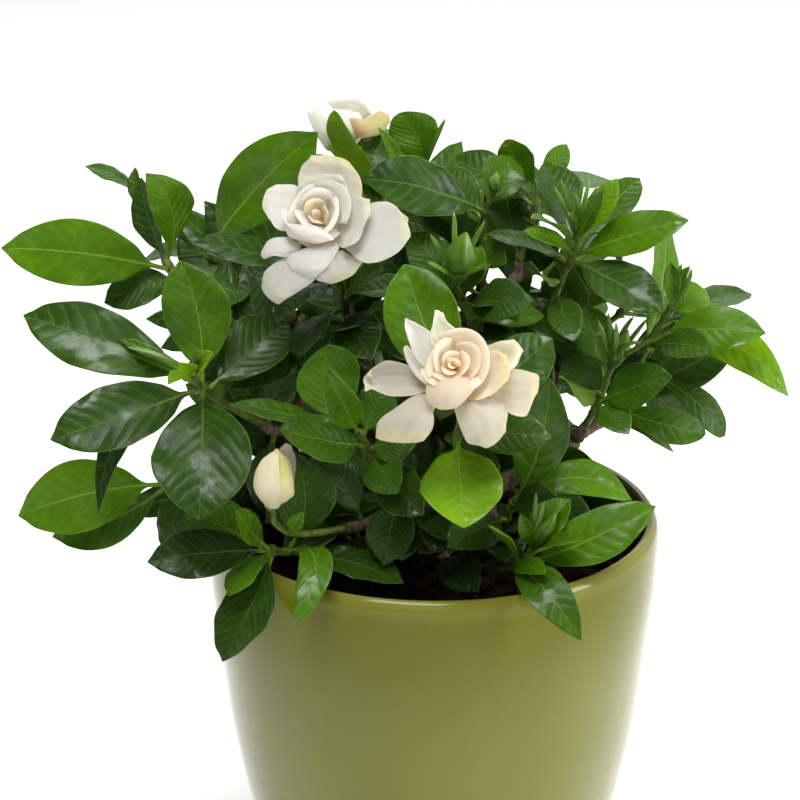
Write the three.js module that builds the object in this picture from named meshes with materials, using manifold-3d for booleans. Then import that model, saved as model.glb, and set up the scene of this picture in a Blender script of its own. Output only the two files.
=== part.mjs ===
// A gardenia in a glazed pot: pot, soil, woody trunk, leafy shoots, blooms and buds.
// Millimetres, +Z up, origin at the centre of the pot's foot. The front of the plant faces -Y.
import * as THREE from "three";
import { mergeVertices } from "three/addons/utils/BufferGeometryUtils.js";
import Module from "manifold-3d";

const wasm = await Module();
wasm.setup();

// Driving dimensions
const POT_HEIGHT = 172;
const POT_RADIUS = 95;
const RIM_INSIDE_RADIUS = 89.5;
const FOOT_RADIUS = 64;
const POT_WALL = 6;
const POT_FLOOR = 9;
const POT_SIDES = 28;
const SOIL_BELOW_RIM = 17;
const SOIL_TOP = POT_HEIGHT - SOIL_BELOW_RIM;
const SOIL_LUMP = 2.2;
const TOUCH_GAP = 0.3;
const TRUNK_RADIUS = 8;
const TRUNK_NECK_RADIUS = 7;
const TRUNK_DEPTH_IN_SOIL = 45;
const TRUNK_SIDES = 10;
const HOLE_SIDES = 16;
const MAIN_START_RADIUS = 5.5;
const MAIN_END_RADIUS = 3.2;
const MAIN_SIDES = 6;
const BRANCH_START_RADIUS = 3.1;
const BRANCH_END_RADIUS = 2.2;
const BRANCH_SIDES = 4;
const GREEN_STEM_RADIUS = 1.8;
const BUD_SIDES = 6;
const NARROW = 13.5;
const ROOT_OFF_AXIS = 0.5;
const LEAF_THICKNESS = 1.3;
const PETAL_THICKNESS = 1.4;
const PETIOLE_RADIUS = 1;
const PETIOLE_SHARE = 0.1;
const LEAF_CLEARANCE = 0.25;
const BEND_STEP = THREE.MathUtils.degToRad(2.2);
const BEND_TURN = THREE.MathUtils.degToRad(137.5);
const BEND_TRIES = 160;

// The view that places are read in, as (column, row, depth): 800 by 800 pixels from the front,
// looking along +Y and down, with the depth in millimetres along Y.
const VIEW_PITCH = THREE.MathUtils.degToRad(20.25);
const VIEW_FROM = new THREE.Vector3(-14, -1032, 602.3);
const PIXEL_SLOPE = 0.0003764;
const VIEW_MIDDLE = 400;

const point = (x, y, z) => new THREE.Vector3(x, y, z);
const AHEAD = point(0, Math.cos(VIEW_PITCH), -Math.sin(VIEW_PITCH));
const ABOVE = point(0, Math.sin(VIEW_PITCH), Math.cos(VIEW_PITCH));

function seen([column, row, depth]) {
  const ray = AHEAD.clone().addScaledVector(ABOVE, (VIEW_MIDDLE - row) * PIXEL_SLOPE);
  ray.x += (column - VIEW_MIDDLE) * PIXEL_SLOPE;
  return ray.multiplyScalar((depth - VIEW_FROM.y) / ray.y).add(VIEW_FROM);
}

// Solids

function solidOf(positions, faces) {
  const corner = (i) => point(positions[3 * i], positions[3 * i + 1], positions[3 * i + 2]);
  let volume = 0;
  for (let i = 0; i < faces.length; i += 3)
    volume += corner(faces[i]).dot(corner(faces[i + 1]).cross(corner(faces[i + 2])));
  const outward = volume > 0 ? faces : faces.toReversed();
  return new wasm.Manifold(
    new wasm.Mesh({
      numProp: 3,
      vertProperties: Float32Array.from(positions),
      triVerts: Uint32Array.from(outward),
    }),
  );
}

function solidOfGeometry(geometry) {
  const bare = geometry.clone();
  bare.deleteAttribute("normal");
  bare.deleteAttribute("uv");
  const merged = mergeVertices(bare, 1e-3);
  const faces = [];
  for (let i = 0; i < merged.index.count; i += 3) {
    const face = [0, 1, 2].map((k) => merged.index.getX(i + k));
    if (new Set(face).size === 3) faces.push(...face);
  }
  return solidOf(Array.from(merged.attributes.position.array), faces);
}

function geometryOf(solid) {
  const mesh = solid.getMesh();
  const geometry = new THREE.BufferGeometry();
  geometry.setAttribute("position", new THREE.BufferAttribute(mesh.vertProperties, 3));
  geometry.setIndex(new THREE.BufferAttribute(mesh.triVerts, 1));
  geometry.computeVertexNormals();
  return geometry;
}

// A closed skin over rings of equally many points, an even number. The second half of a ring
// mirrors the first, so a thin blade is split into triangles alike on both faces. With a tip it
// ends in that point, and otherwise in a flat cap.
function loft(rings, tip) {
  const count = rings[0].length;
  const points = tip ? [...rings.flat(), tip] : rings.flat();
  const faces = [];
  for (let i = 0; i + 1 < rings.length; i++)
    for (let j = 0; j < count; j++) {
      const a = i * count + j;
      const b = i * count + ((j + 1) % count);
      const [c, d] = [a + count, b + count];
      if (j < count / 2) faces.push(a, b, d, a, d, c);
      else faces.push(a, b, c, b, d, c);
    }
  const cap = (start, turned) => {
    const opposite = (k) => start + ((count - k) % count);
    for (let j = 0; j < count / 2; j++) {
      const quad = [start + j, start + j + 1, opposite(j + 1), opposite(j)];
      for (const corners of [[0, 1, 2], [0, 2, 3]]) {
        const face = corners.map((k) => quad[k]);
        if (new Set(face).size === 3) faces.push(...(turned ? face.reverse() : face));
      }
    }
  };
  cap(0, true);
  const last = (rings.length - 1) * count;
  if (tip) for (let j = 0; j < count; j++) faces.push(last + j, last + ((j + 1) % count), points.length - 1);
  else cap(last, false);
  return solidOf(points.flatMap((p) => p.toArray()), faces);
}

// A tapered round stem with a ring at each point.
function stem(points, startRadius, endRadius, sides) {
  const last = points.length - 1;
  let across = point(0, 1, 0.13);
  const rings = points.map((centre, i) => {
    const along = points[Math.min(i + 1, last)].clone().sub(points[Math.max(i - 1, 0)]).normalize();
    across = across.clone().addScaledVector(along, -across.dot(along)).normalize();
    const beside = along.clone().cross(across);
    const radius = THREE.MathUtils.lerp(startRadius, endRadius, i / last);
    return Array.from({ length: sides }, (_, j) => {
      const turn = (2 * Math.PI * j) / sides;
      return centre
        .clone()
        .addScaledVector(across, radius * Math.cos(turn))
        .addScaledVector(beside, radius * Math.sin(turn));
    });
  });
  return loft(rings);
}

// Blades: leaves, petals and calyx lobes

const leafOutline = (s) => Math.sin(Math.PI * s ** 1.15) ** 0.8;
const petalOutline = (s) =>
  (0.14 + 0.86 * Math.sin((Math.PI / 2) * Math.min(1, s / 0.64))) *
  Math.sqrt(1 - (Math.max(0, s - 0.64) / 0.39) ** 2);

const LEAF = {
  stations: [0, 0.26, 0.54, 0.82],
  across: [-1, 0, 1],
  pointed: true,
  thickness: LEAF_THICKNESS,
  halfWidth: (t, wide) =>
    t <= PETIOLE_SHARE
      ? PETIOLE_RADIUS
      : Math.max(PETIOLE_RADIUS, (wide / 2) * leafOutline((t - PETIOLE_SHARE) / (1 - PETIOLE_SHARE))),
};
const PETAL = {
  stations: [0, 0.36, 0.7, 1],
  across: [-1, 0, 1],
  pointed: false,
  thickness: PETAL_THICKNESS,
  halfWidth: (t, wide) => (wide / 2) * petalOutline(t),
};
const NARROW_LEAF = {
  ...LEAF,
  stations: [0, 0.35, 0.7],
};
const LOBE = {
  stations: [0, 0.55],
  across: [-1, 0, 1],
  pointed: true,
  thickness: 1.2,
  halfWidth: (t, wide) => (wide / 2) * (1 - 0.3 * t),
};

// The middle surface of a blade, t along it from root to tip and v across it from -1 to 1. arch
// lifts its middle, sway bends it sideways, fold lifts both edges, cup curls them up and wave
// ripples them, all as shares of its length or half width.
function bladePoint(kind, blade, t, v) {
  const { root, tip, face, wide, arch = 0.07, sway = 0, fold = 0.2, cup = 0, wave = 0.1, phase = 0 } = blade;
  const chord = tip.clone().sub(root);
  const side = chord.clone().cross(face).normalize();
  const lift = side.clone().cross(chord).normalize();
  const half = kind.halfWidth(t, wide);
  const bulge = 4 * t * (1 - t) * chord.length();
  const ripple = wave * Math.sin(2 * Math.PI * (1.2 * t + phase) + v) * v * v;
  return root
    .clone()
    .addScaledVector(chord, t)
    .addScaledVector(side, sway * bulge + half * v)
    .addScaledVector(lift, arch * bulge + half * (fold * Math.abs(v) + cup * v * v + ripple));
}

function bladeSolid(kind, blade, grow = 0, from = 0) {
  const chord = blade.tip.clone().sub(blade.root);
  const lift = chord.clone().cross(blade.face).cross(chord).normalize();
  const inner = kind.across.slice(1, -1);
  const rings = kind.stations
    .filter((t) => t >= from)
    .map((t) => {
      const edge = 1 + grow / kind.halfWidth(t, blade.wide);
      const depth = grow + (t <= PETIOLE_SHARE ? PETIOLE_RADIUS : kind.thickness / 2);
      const off = (v, way) => bladePoint(kind, blade, t, v).addScaledVector(lift, way * depth * (1 - v * v));
      return [
        bladePoint(kind, blade, t, -edge),
        ...inner.map((v) => off(v, 1)),
        bladePoint(kind, blade, t, edge),
        ...inner.toReversed().map((v) => off(v, -1)),
      ];
    });
  return loft(rings, kind.pointed ? bladePoint(kind, blade, 1, 0) : undefined);
}

// The same blade with its tip turned about its root by the tried bend, none for the first try.
function bent(blade, tries) {
  const chord = blade.tip.clone().sub(blade.root);
  const side = chord.clone().cross(blade.face).normalize();
  const lift = side.clone().cross(chord).normalize();
  const angle = BEND_STEP * Math.sqrt(tries);
  const turn = BEND_TURN * tries;
  const tip = blade.root
    .clone()
    .addScaledVector(chord, Math.cos(angle))
    .addScaledVector(side, chord.length() * Math.sin(angle) * Math.cos(turn))
    .addScaledVector(lift, chord.length() * Math.sin(angle) * Math.sin(turn));
  return { ...blade, tip };
}

// The plant's nodes, each a list of solids joined at the end, with what its leaves must stay clear of

const nodes = new Map();

function addTo(name, solid, blade) {
  if (!nodes.has(name)) nodes.set(name, []);
  nodes.get(name).push({ solid, box: solid.boundingBox(), blade });
}

const apart = (a, b) => [0, 1, 2].some((k) => a.min[k] > b.max[k] || a.max[k] < b.min[k]);
const crosses = (a, b) => !apart(a.boundingBox(), b.boundingBox()) && !a.intersect(b).isEmpty();

// True where a grown blade crosses a piece of another node, or its outer part a leaf of its own.
function meetsSomething(name, whole, outer) {
  const box = whole.boundingBox();
  for (const [other, pieces] of nodes)
    for (const piece of pieces) {
      if (apart(box, piece.box)) continue;
      const own = other === name;
      if (own ? piece.blade && crosses(outer, piece.blade) : crosses(whole, piece.solid)) return true;
    }
  return false;
}

// Places a blade, bent clear of what is there already. A blade with no clear place is left out.
function placeBlade(name, kind, blade, keepsOffOwn) {
  for (let tries = 0; tries <= BEND_TRIES; tries++) {
    const tried = bent(blade, tries);
    const whole = bladeSolid(kind, tried, LEAF_CLEARANCE);
    const outer = bladeSolid(kind, tried, 0, 0.25);
    if (meetsSomething(name, whole, outer)) continue;
    addTo(name, bladeSolid(kind, tried), keepsOffOwn ? outer : undefined);
    return;
  }
}

// Pot and soil

// Radius and height below the rim's top
const POT_OUTSIDE = [
  [FOOT_RADIUS - 2, POT_HEIGHT],
  [FOOT_RADIUS, POT_HEIGHT - 2],
  [72, 150],
  [78, 133],
  [83.5, 109],
  [88, 85],
  [91.6, 57],
  [94.2, 30],
  [POT_RADIUS, 11],
  [93, 1],
];
const RIM_TOP = [
  [91.3, 0],
  [RIM_INSIDE_RADIUS, 1.2],
];

function outsideRadius(drop) {
  const next = POT_OUTSIDE.findIndex(([, below]) => below <= drop);
  const [[r0, d0], [r1, d1]] = [POT_OUTSIDE[Math.max(0, next - 1)], POT_OUTSIDE[next]];
  return d0 === d1 ? r1 : THREE.MathUtils.mapLinear(drop, d0, d1, r0, r1);
}

const latheSolid = (profile) =>
  solidOfGeometry(
    new THREE.LatheGeometry(profile.map(([r, z]) => new THREE.Vector2(r, z)), POT_SIDES).rotateX(Math.PI / 2),
  );

function buildPot() {
  const inside = [20, 80, 140].map((drop) => [outsideRadius(drop) - POT_WALL, drop]);
  const floor = [[FOOT_RADIUS - POT_WALL, POT_HEIGHT - POT_FLOOR], [0, POT_HEIGHT - POT_FLOOR]];
  const drops = [[0, POT_HEIGHT], ...POT_OUTSIDE, ...RIM_TOP, ...inside, ...floor];
  addTo("pot", latheSolid(drops.map(([r, drop]) => [r, POT_HEIGHT - drop])));
}

const soilLump = (x, y) =>
  SOIL_LUMP * (Math.sin(0.21 * x + 1.3) * Math.cos(0.24 * y) + 0.6 * Math.sin(0.47 * x - 0.35 * y));

function buildSoil() {
  const inset = POT_WALL + 1.5 * TOUCH_GAP;
  const bottom = POT_FLOOR + TOUCH_GAP;
  const walls = [140, 80, 20].map((drop) => [outsideRadius(drop) - inset, POT_HEIGHT - drop]);
  const rings = [62, 28].map((r) => [r, SOIL_TOP]);
  const profile = [[0, bottom], [FOOT_RADIUS - inset, bottom], ...walls, ...rings, [0, SOIL_TOP]];
  const vectors = profile.map(([r, z]) => new THREE.Vector2(r, z));
  const geometry = new THREE.LatheGeometry(vectors, POT_SIDES).rotateX(Math.PI / 2);
  const place = geometry.attributes.position;
  for (let i = 0; i < place.count; i++)
    if (place.getZ(i) > SOIL_TOP - 0.01) place.setZ(i, SOIL_TOP + soilLump(place.getX(i), place.getY(i)));
  const holeRadius = TRUNK_RADIUS + 2 * TOUCH_GAP;
  const hole = new THREE.CylinderGeometry(holeRadius, holeRadius, 2 * TRUNK_DEPTH_IN_SOIL, HOLE_SIDES)
    .rotateX(Math.PI / 2)
    .translate(0, 0, SOIL_TOP - TOUCH_GAP);
  addTo("soil", solidOfGeometry(geometry).subtract(solidOfGeometry(hole)));
}

// Woody trunk: main stems from the crown, and a branch from them to each shoot

const CROWN = point(0, 0, SOIL_TOP - TRUNK_DEPTH_IN_SOIL);
const MAINS = {
  left: [[-5, -2, 172], [-22, -8, 190], [-46, -8, 205], [-64, -2, 222]],
  front: [[1, -5, 170], [-6, -20, 180], [-9, -30, 189]],
  right: [[5, -2, 172], [22, -8, 184], [44, -13, 199], [57, -8, 211]],
  top: [[0, 2, 178], [2, 8, 208], [6, 10, 240], [4, 12, 262]],
  back_right: [[4, 5, 172], [18, 24, 190], [34, 46, 214]],
  back_left: [[-4, 5, 172], [-16, 26, 192], [-30, 48, 216]],
};

const smooth = (points, steps) => new THREE.CatmullRomCurve3(points).getPoints(steps);

function buildTrunk() {
  const stump = [CROWN, point(0, 0, SOIL_TOP - 5), point(0, 0, SOIL_TOP + 13)];
  addTo("trunk", stem(stump, TRUNK_RADIUS, TRUNK_NECK_RADIUS, TRUNK_SIDES));
  for (const places of Object.values(MAINS)) {
    const route = [point(0, 0, SOIL_TOP), ...places.map((place) => point(...place))];
    addTo("trunk", stem(smooth(route, 6), MAIN_START_RADIUS, MAIN_END_RADIUS, MAIN_SIDES));
  }
}

// A branch from a place on a main stem to where a green shoot begins, meeting it face to face.
function buildBranch({ from: [main, at], stem: [start, next] }) {
  const fork = alongStem(MAINS[main].map((place) => point(...place)), at);
  const along = next.clone().sub(start).normalize();
  const end = start.clone().addScaledVector(along, -TOUCH_GAP);
  const before = end.clone().addScaledVector(along, -7);
  addTo("trunk", stem([fork, before, end], BRANCH_START_RADIUS, BRANCH_END_RADIUS, BRANCH_SIDES));
}

// Shoots. A stem's places and each tip are (column, row, depth) in the view; "at" counts along the
// stem's places from 0, and wide is in millimetres.

const UP = point(0, -0.3, 1);
const HALF_UP = point(0, -0.9, 0.8);
const FRONT = point(0, -1, 0.35);
const OVER_RIM = point(-0.2, -0.7, 1);
const FRONT_LEFT = point(-0.7, -0.8, 0.3);
const FRONT_RIGHT = point(0.7, -0.8, 0.3);
const LEFT_UP = point(-0.8, -0.2, 0.6);
const RIGHT_UP = point(0.8, -0.2, 0.6);

const blade = (at, tip, wide, face = HALF_UP, shape = {}) => ({ at, tip, wide, face, ...shape });

const SHOOTS = [
  {
    name: "shoot_left_mid",
    from: ["left", 2.3],
    stem: [[262, 424, -18], [226, 404, -34], [202, 388, -42], [194, 374, -50]],
    leaves: [
      blade(2, [199, 520, -92], 39, FRONT, { arch: 0.1, sway: -0.04 }),
      blade(2, [180, 260, -24], 27, FRONT, { arch: 0.04, sway: 0.1 }),
      blade(2, [50, 440, -66], 28, HALF_UP, { arch: 0.08, sway: -0.04 }),
      blade(2.2, [23, 315, -28], 27, HALF_UP, { arch: 0.08, sway: -0.01 }),
      blade(1.8, [289, 321, -14], 25, HALF_UP, { arch: 0.06 }),
      blade(2.6, [118, 338, -40], 5, HALF_UP, { fold: 0.5 }),
      blade(1.8, [98, 514, -34], 14, FRONT_LEFT, { arch: 0, sway: 0.25 }),
      blade(3, [213, 352, -58], 8, FRONT_LEFT, { fold: 0.7 }),
      blade(3, [182, 361, -66], 8, FRONT, { fold: 0.6 }),
      blade(3, [168, 384, -62], 7, UP, { fold: 0.5 }),
    ],
  },
  {
    name: "shoot_left_top",
    from: ["left", 3],
    stem: [[240, 322, 10], [206, 292, 12], [171, 270, 12], [152, 222, 26], [143, 196, 36]],
    leaves: [
      blade(2, [1, 248, -14], 27, FRONT, { arch: 0.05, sway: 0.01 }),
      blade(2.2, [146, 173, 10], 21, FRONT_RIGHT, { arch: 0.06, sway: 0.2 }),
      blade(1.7, [104, 303, 2], 18, HALF_UP, { arch: 0.08 }),
      blade(4, [85, 166, 44], 9, UP, { arch: 0.08 }),
      blade(3, [135, 167, 40], 8, FRONT_LEFT, { fold: 0.6 }),
      blade(2.1, [141, 177, 28], 14, FRONT_LEFT, { fold: 0.4 }),
    ],
  },
  {
    name: "shoot_left_low",
    from: ["left", 1.5],
    stem: [[262, 478, -8], [210, 478, -8], [166, 484, -6]],
    leaves: [
      blade(2, [18, 516, -18], 30, FRONT, { arch: 0.05, sway: 0.05 }),
      blade(1.9, [52, 537, -4], 20, FRONT, { arch: 0.04, sway: -0.11 }),
      blade(1.5, [172, 556, -22], 19, FRONT_LEFT, { arch: 0.08 }),
    ],
  },
  {
    name: "shoot_rim_left",
    from: ["front", 0.6],
    stem: [[350, 545, -30], [305, 552, -48], [270, 551, -60]],
    leaves: [
      blade(2, [147, 562, -74], 21, HALF_UP, { arch: 0.08 }),
      blade(1.9, [222, 662, -84], 26, FRONT_LEFT, { arch: 0.07, sway: -0.1 }),
      blade(1.7, [300, 622, -100], 15, OVER_RIM, { arch: 0.2, sway: -0.28 }),
      blade(2, [186, 512, -38], 22, HALF_UP, { arch: 0.08 }),
      blade(2, [236, 510, -80], 11, FRONT_RIGHT, { fold: 0.5, arch: -0.08 }),
      blade(1.9, [228, 596, -80], 15, FRONT_LEFT),
      blade(1.2, [404, 583, -64], 19, UP, { arch: 0.05 }),
      blade(1.5, [309, 452, -44], 25, FRONT, { arch: 0.05, sway: 0.16 }),
    ],
  },
  {
    name: "shoot_centre_left",
    from: ["front", 1.7],
    stem: [[404, 500, -34], [378, 465, -44], [358, 432, -54]],
    leaves: [
      blade(2, [325, 346, -52], 26, FRONT, { arch: -0.05, cup: 0.15, sway: -0.1 }),
      blade(2, [322, 362, -78], 13, FRONT, { fold: 0.9, arch: 0.1 }),
      blade(1.6, [279, 429, -80], 21, HALF_UP, { arch: 0.05, sway: -0.06 }),
      blade(1.7, [228, 404, -48], 12, UP, { arch: 0.05 }),
      blade(1.2, [398, 493, -76], 17, FRONT, { arch: 0.08 }),
      blade(1.5, [424, 448, -58], 18, HALF_UP),
      blade(1.8, [388, 380, -44], 16, HALF_UP),
      blade(0.9, [423, 515, -74], 19, FRONT, { arch: 0.1 }),
      blade(0.2, [384, 566, -62], 19, HALF_UP, { arch: 0.1 }),
    ],
  },
  {
    name: "shoot_front",
    from: ["front", 2],
    stem: [[452, 500, -40], [456, 450, -56], [461, 412, -68], [462, 398, -72]],
    leaves: [
      blade(1.3, [464, 528, -106], 32, FRONT, { arch: 0.04 }),
      blade(2.1, [404, 264, -44], 29, FRONT, { arch: 0.04, sway: -0.02 }),
      blade(1.4, [552, 438, -78], 18, HALF_UP, { arch: 0.08 }),
      blade(2, [553, 338, -44], 23, FRONT, { arch: 0.05 }),
      blade(0.5, [500, 470, -78], 18, HALF_UP, { arch: 0.1 }),
    ],
    lobes: [
      blade(2.4, [436, 408, -76], 2.6),
      blade(2.4, [478, 416, -78], 2.6),
    ],
  },
  {
    name: "shoot_centre_right",
    from: ["right", 1],
    stem: [[500, 535, -30], [507, 518, -38], [513, 502, -44]],
    leaves: [
      blade(2, [550, 378, -58], 21, FRONT, { arch: 0.05, sway: 0.06 }),
      blade(2, [632, 500, -36], 16, HALF_UP, { arch: 0.12, sway: -0.16 }),
      blade(1.6, [600, 464, -30], 13, UP, { arch: 0.06 }),
      blade(1.5, [560, 500, -56], 20, FRONT, { arch: 0.05 }),
      blade(1, [447, 548, -66], 18, HALF_UP, { arch: 0.08 }),
    ],
  },
  {
    name: "shoot_rim_right",
    from: ["front", 1],
    stem: [[455, 562, -32], [488, 570, -50], [518, 566, -64], [532, 548, -66]],
    leaves: [
      blade(2, [656, 506, -66], 24, HALF_UP, { arch: 0.06 }),
      blade(1.8, [582, 641, -104], 17, OVER_RIM, { arch: 0.24 }),
      blade(2, [488, 526, -84], 9, FRONT_LEFT, { arch: -0.1 }),
      blade(1.8, [545, 577, -92], 10, HALF_UP),
      blade(2.2, [582, 540, -80], 10, UP, { fold: 0.5 }),
      blade(2.6, [574, 502, -60], 15, FRONT_LEFT, { fold: 0.5 }),
      blade(1.5, [564, 586, -84], 12, UP),
      blade(0.1, [478, 592, -70], 18, FRONT, { arch: 0.16 }),
      blade(3, [520, 513, -70], 6, FRONT, { fold: 0.6 }),
    ],
    buds: [{ tip: [556, 512, -70], radius: 3.6 }],
    lobes: [blade(3, [536, 492, -68], 2.6), blade(3, [545, 500, -78], 2.6)],
  },
  {
    name: "shoot_right_mid",
    from: ["right", 3],
    stem: [[586, 424, -14], [597, 404, -16], [612, 366, -18]],
    leaves: [
      blade(1, [672, 376, -36], 19, HALF_UP, { arch: 0.06 }),
      blade(0.9, [629, 434, -40], 14, HALF_UP, { arch: 0.1 }),
      blade(1.1, [706, 434, -22], 15, HALF_UP, { arch: 0.1, sway: 0.08 }),
      blade(0.8, [574, 352, -12], 20, FRONT, { arch: 0.05 }),
      blade(0.6, [674, 452, -14], 8, UP),
      blade(1.6, [584, 304, 4], 17, FRONT, { arch: 0.1 }),
      blade(1.3, [565, 380, -40], 17, FRONT_LEFT),
    ],
    buds: [{ tip: [628, 330, -22], radius: 4 }],
    lobes: [
      blade(2, [598, 320, -18], 2.6),
      blade(2, [608, 312, -14], 2.6),
      blade(2, [648, 318, -18], 2.6),
      blade(2, [658, 336, -28], 2.6),
    ],
  },
  {
    name: "shoot_right_far",
    from: ["right", 2.6],
    stem: [[622, 400, 4], [638, 368, 0], [652, 338, -6], [672, 306, -6]],
    leaves: [
      blade(2, [766, 333, -24], 20, HALF_UP, { arch: 0.06 }),
      blade(2.3, [752, 294, 18], 17, UP, { arch: 0.08 }),
      blade(1.6, [789, 397, -18], 18, HALF_UP, { arch: 0.14, sway: -0.12 }),
      blade(2.7, [706, 290, 4], 17, HALF_UP, { arch: 0.1 }),
      blade(1.7, [714, 352, -34], 15, HALF_UP, { arch: 0.1 }),
      blade(1, [725, 436, -4], 13, HALF_UP, { arch: 0.1, sway: -0.05 }),
      blade(0.8, [690, 428, 14], 18, FRONT),
      blade(1.2, [664, 216, 44], 17, FRONT_RIGHT),
      blade(3, [671, 262, -6], 7, FRONT, { fold: 0.7 }),
      blade(3, [690, 266, -4], 5, FRONT_LEFT, { fold: 0.7 }),
    ],
  },
  {
    name: "shoot_upper_right",
    from: ["top", 1.7],
    stem: [[545, 318, 8], [560, 282, 4], [572, 258, 0], [576, 240, -4]],
    leaves: [
      blade(2, [689, 220, -18], 18, HALF_UP, { arch: 0.06 }),
      blade(1.9, [664, 312, -34], 21, HALF_UP, { arch: 0.06 }),
      blade(1.8, [486, 234, -4], 13, UP, { arch: 0.06 }),
      blade(2.2, [545, 162, 14], 23, FRONT_RIGHT, { arch: 0.05 }),
      blade(1.9, [650, 240, 34], 19, UP, { arch: 0.06 }),
      blade(2.2, [523, 231, -26], 8, HALF_UP, { fold: 0.4 }),
      blade(3, [618, 178, -4], 11, FRONT, { fold: 0.6 }),
      blade(3, [604, 188, -18], 6, FRONT, { fold: 0.6 }),
      blade(2.6, [530, 218, -30], 9, UP, { fold: 0.4 }),
      blade(1, [530, 262, -14], 15, FRONT_LEFT),
      blade(0.7, [574, 342, -24], 14, FRONT, { arch: 0.08 }),
      blade(2.4, [640, 178, 30], 16, HALF_UP, { arch: 0.08 }),
    ],
    lobes: [blade(3, [554, 186, -8], 2.6), blade(3, [561, 180, -2], 2.6), blade(3, [590, 178, 4], 2.6)],
  },
  {
    name: "shoot_top_right",
    from: ["top", 2.4],
    stem: [[520, 262, 26], [530, 225, 30], [540, 188, 32]],
    leaves: [
      blade(2, [505, 140, 34], 17, FRONT_LEFT, { arch: 0.06 }),
      blade(2, [567, 144, 40], 10, FRONT),
      blade(1.6, [610, 180, 62], 14, UP, { arch: 0.08 }),
      blade(1.5, [452, 158, 58], 20, HALF_UP, { arch: 0.06 }),
      blade(1.3, [575, 205, 60], 19, RIGHT_UP, { arch: 0.08 }),
    ],
  },
  {
    name: "shoot_top",
    from: ["top", 3],
    stem: [[478, 262, 12], [484, 238, 12], [485, 212, 12], [494, 192, 10]],
    leaves: [
      blade(2, [362, 178, -16], 26, HALF_UP, { arch: 0.08 }),
      blade(2, [512, 156, 30], 18, FRONT, { arch: 0.06 }),
      blade(1, [506, 264, -8], 13, FRONT_LEFT, { arch: 0.08 }),
      blade(1.6, [436, 172, 44], 19, HALF_UP, { arch: 0.06 }),
    ],
    buds: [{ tip: [497, 172, 10], radius: 3 }],
  },
  {
    name: "shoot_centre_bud",
    from: ["top", 1],
    stem: [[476, 330, -8], [464, 306, -18], [455, 282, -24]],
    leaves: [
      blade(1.2, [482, 246, -14], 15, FRONT_LEFT, { arch: 0.05 }),
      blade(1, [352, 292, -30], 19, UP, { arch: 0.06 }),
      blade(1, [530, 304, -38], 19, HALF_UP, { arch: 0.08 }),
      blade(1.3, [410, 232, -6], 18, HALF_UP, { arch: 0.06 }),
      blade(0.6, [536, 302, -2], 12, FRONT_LEFT, { fold: 0.5 }),
      blade(0.6, [545, 316, -14], 9, FRONT_RIGHT, { fold: 0.5 }),
    ],
    buds: [{ tip: [466, 232, -28], radius: 6 }],
    lobes: [
      blade(2, [430, 234, -26], 3),
      blade(2, [454, 211, -18], 3),
      blade(2, [485, 221, -26], 3),
      blade(2, [427, 262, -38], 3),
      blade(2, [490, 264, -38], 3),
    ],
  },
  {
    name: "shoot_upper_bloom",
    from: ["left", 2.7],
    stem: [[350, 330, -2], [342, 292, -14], [334, 268, -22], [333, 260, -24]],
    leaves: [
      blade(1.2, [190, 243, -14], 20, UP, { arch: 0.06 }),
      blade(0.8, [418, 262, -36], 16, HALF_UP, { arch: 0.06 }),
      blade(0.6, [300, 356, -44], 24, FRONT_LEFT, { arch: 0.08 }),
      blade(0.4, [372, 360, -46], 20, FRONT, { arch: 0.08 }),
      blade(1.5, [276, 322, -48], 16, FRONT_LEFT, { arch: 0.08 }),
      blade(0.1, [231, 389, -30], 18, HALF_UP, { arch: 0.08 }),
    ],
    lobes: [blade(2.4, [318, 272, -26], 3), blade(2.4, [354, 262, -26], 3)],
  },
  {
    name: "shoot_left_back",
    from: ["back_left", 1.4],
    stem: [[296, 320, 32], [250, 286, 30], [208, 252, 28]],
    leaves: [
      blade(2, [318, 132, 14], 29, FRONT, { arch: 0.04, sway: -0.08 }),
      blade(1.6, [240, 218, 60], 22, LEFT_UP, { arch: 0.06 }),
      blade(1.2, [216, 318, 6], 18, HALF_UP, { arch: 0.08 }),
      blade(1.8, [140, 262, 60], 20, UP, { arch: 0.08 }),
    ],
  },
  {
    name: "shoot_top_back",
    from: ["top", 2.7],
    stem: [[400, 240, 36], [402, 208, 38], [424, 170, 42]],
    leaves: [
      blade(1, [334, 110, 16], 12, FRONT_LEFT, { fold: 0.5, arch: 0.05, sway: -0.05 }),
      blade(1.2, [378, 127, 26], 7, FRONT_RIGHT, { fold: 0.4 }),
      blade(2, [399, 113, 34], 20, FRONT, { arch: 0.05, sway: 0.1 }),
      blade(1.1, [364, 134, 58], 20, HALF_UP, { arch: 0.06 }),
      blade(0.8, [330, 190, 58], 20, LEFT_UP, { arch: 0.06 }),
    ],
    lobes: [blade(2, [446, 118, 34], 3)],
  },
];

// Shoots at the back and inside, by rule: rows of like shoots round the pot's axis. height is that
// of the leafy end above the rim, reach its distance from the axis, rise its lean upward, and
// turns are in degrees from +X towards the back.
const ROWS = [
  { row: "low", height: 24, reach: 72, rise: 0.35, turns: [58, 84, 112, 142, 172] },
  { row: "mid", height: 78, reach: 84, rise: 0.7, turns: [20, 54, 88, 122] },
  { row: "high", height: 98, reach: 64, rise: 0.9, turns: [66, 112] },
];
const LEAF_LENGTH = 60;
const LEAF_SHARE = 0.42;

// A repeatable draw from 0 to 1
function drawsFrom(seed) {
  let state = seed;
  return () => {
    state = (Math.imul(state, 1664525) + 1013904223) >>> 0;
    return state / 2 ** 32;
  };
}

function mainFor(turn, row) {
  if (row === "high") return ["top", 1.4 + turn / 180];
  if (turn < 30) return ["right", 1.3 + turn / 30];
  if (turn > 150) return ["left", (turn - 110) / 50];
  return turn < 100 ? ["back_right", turn / 50] : ["back_left", 3 - turn / 75];
}

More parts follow.
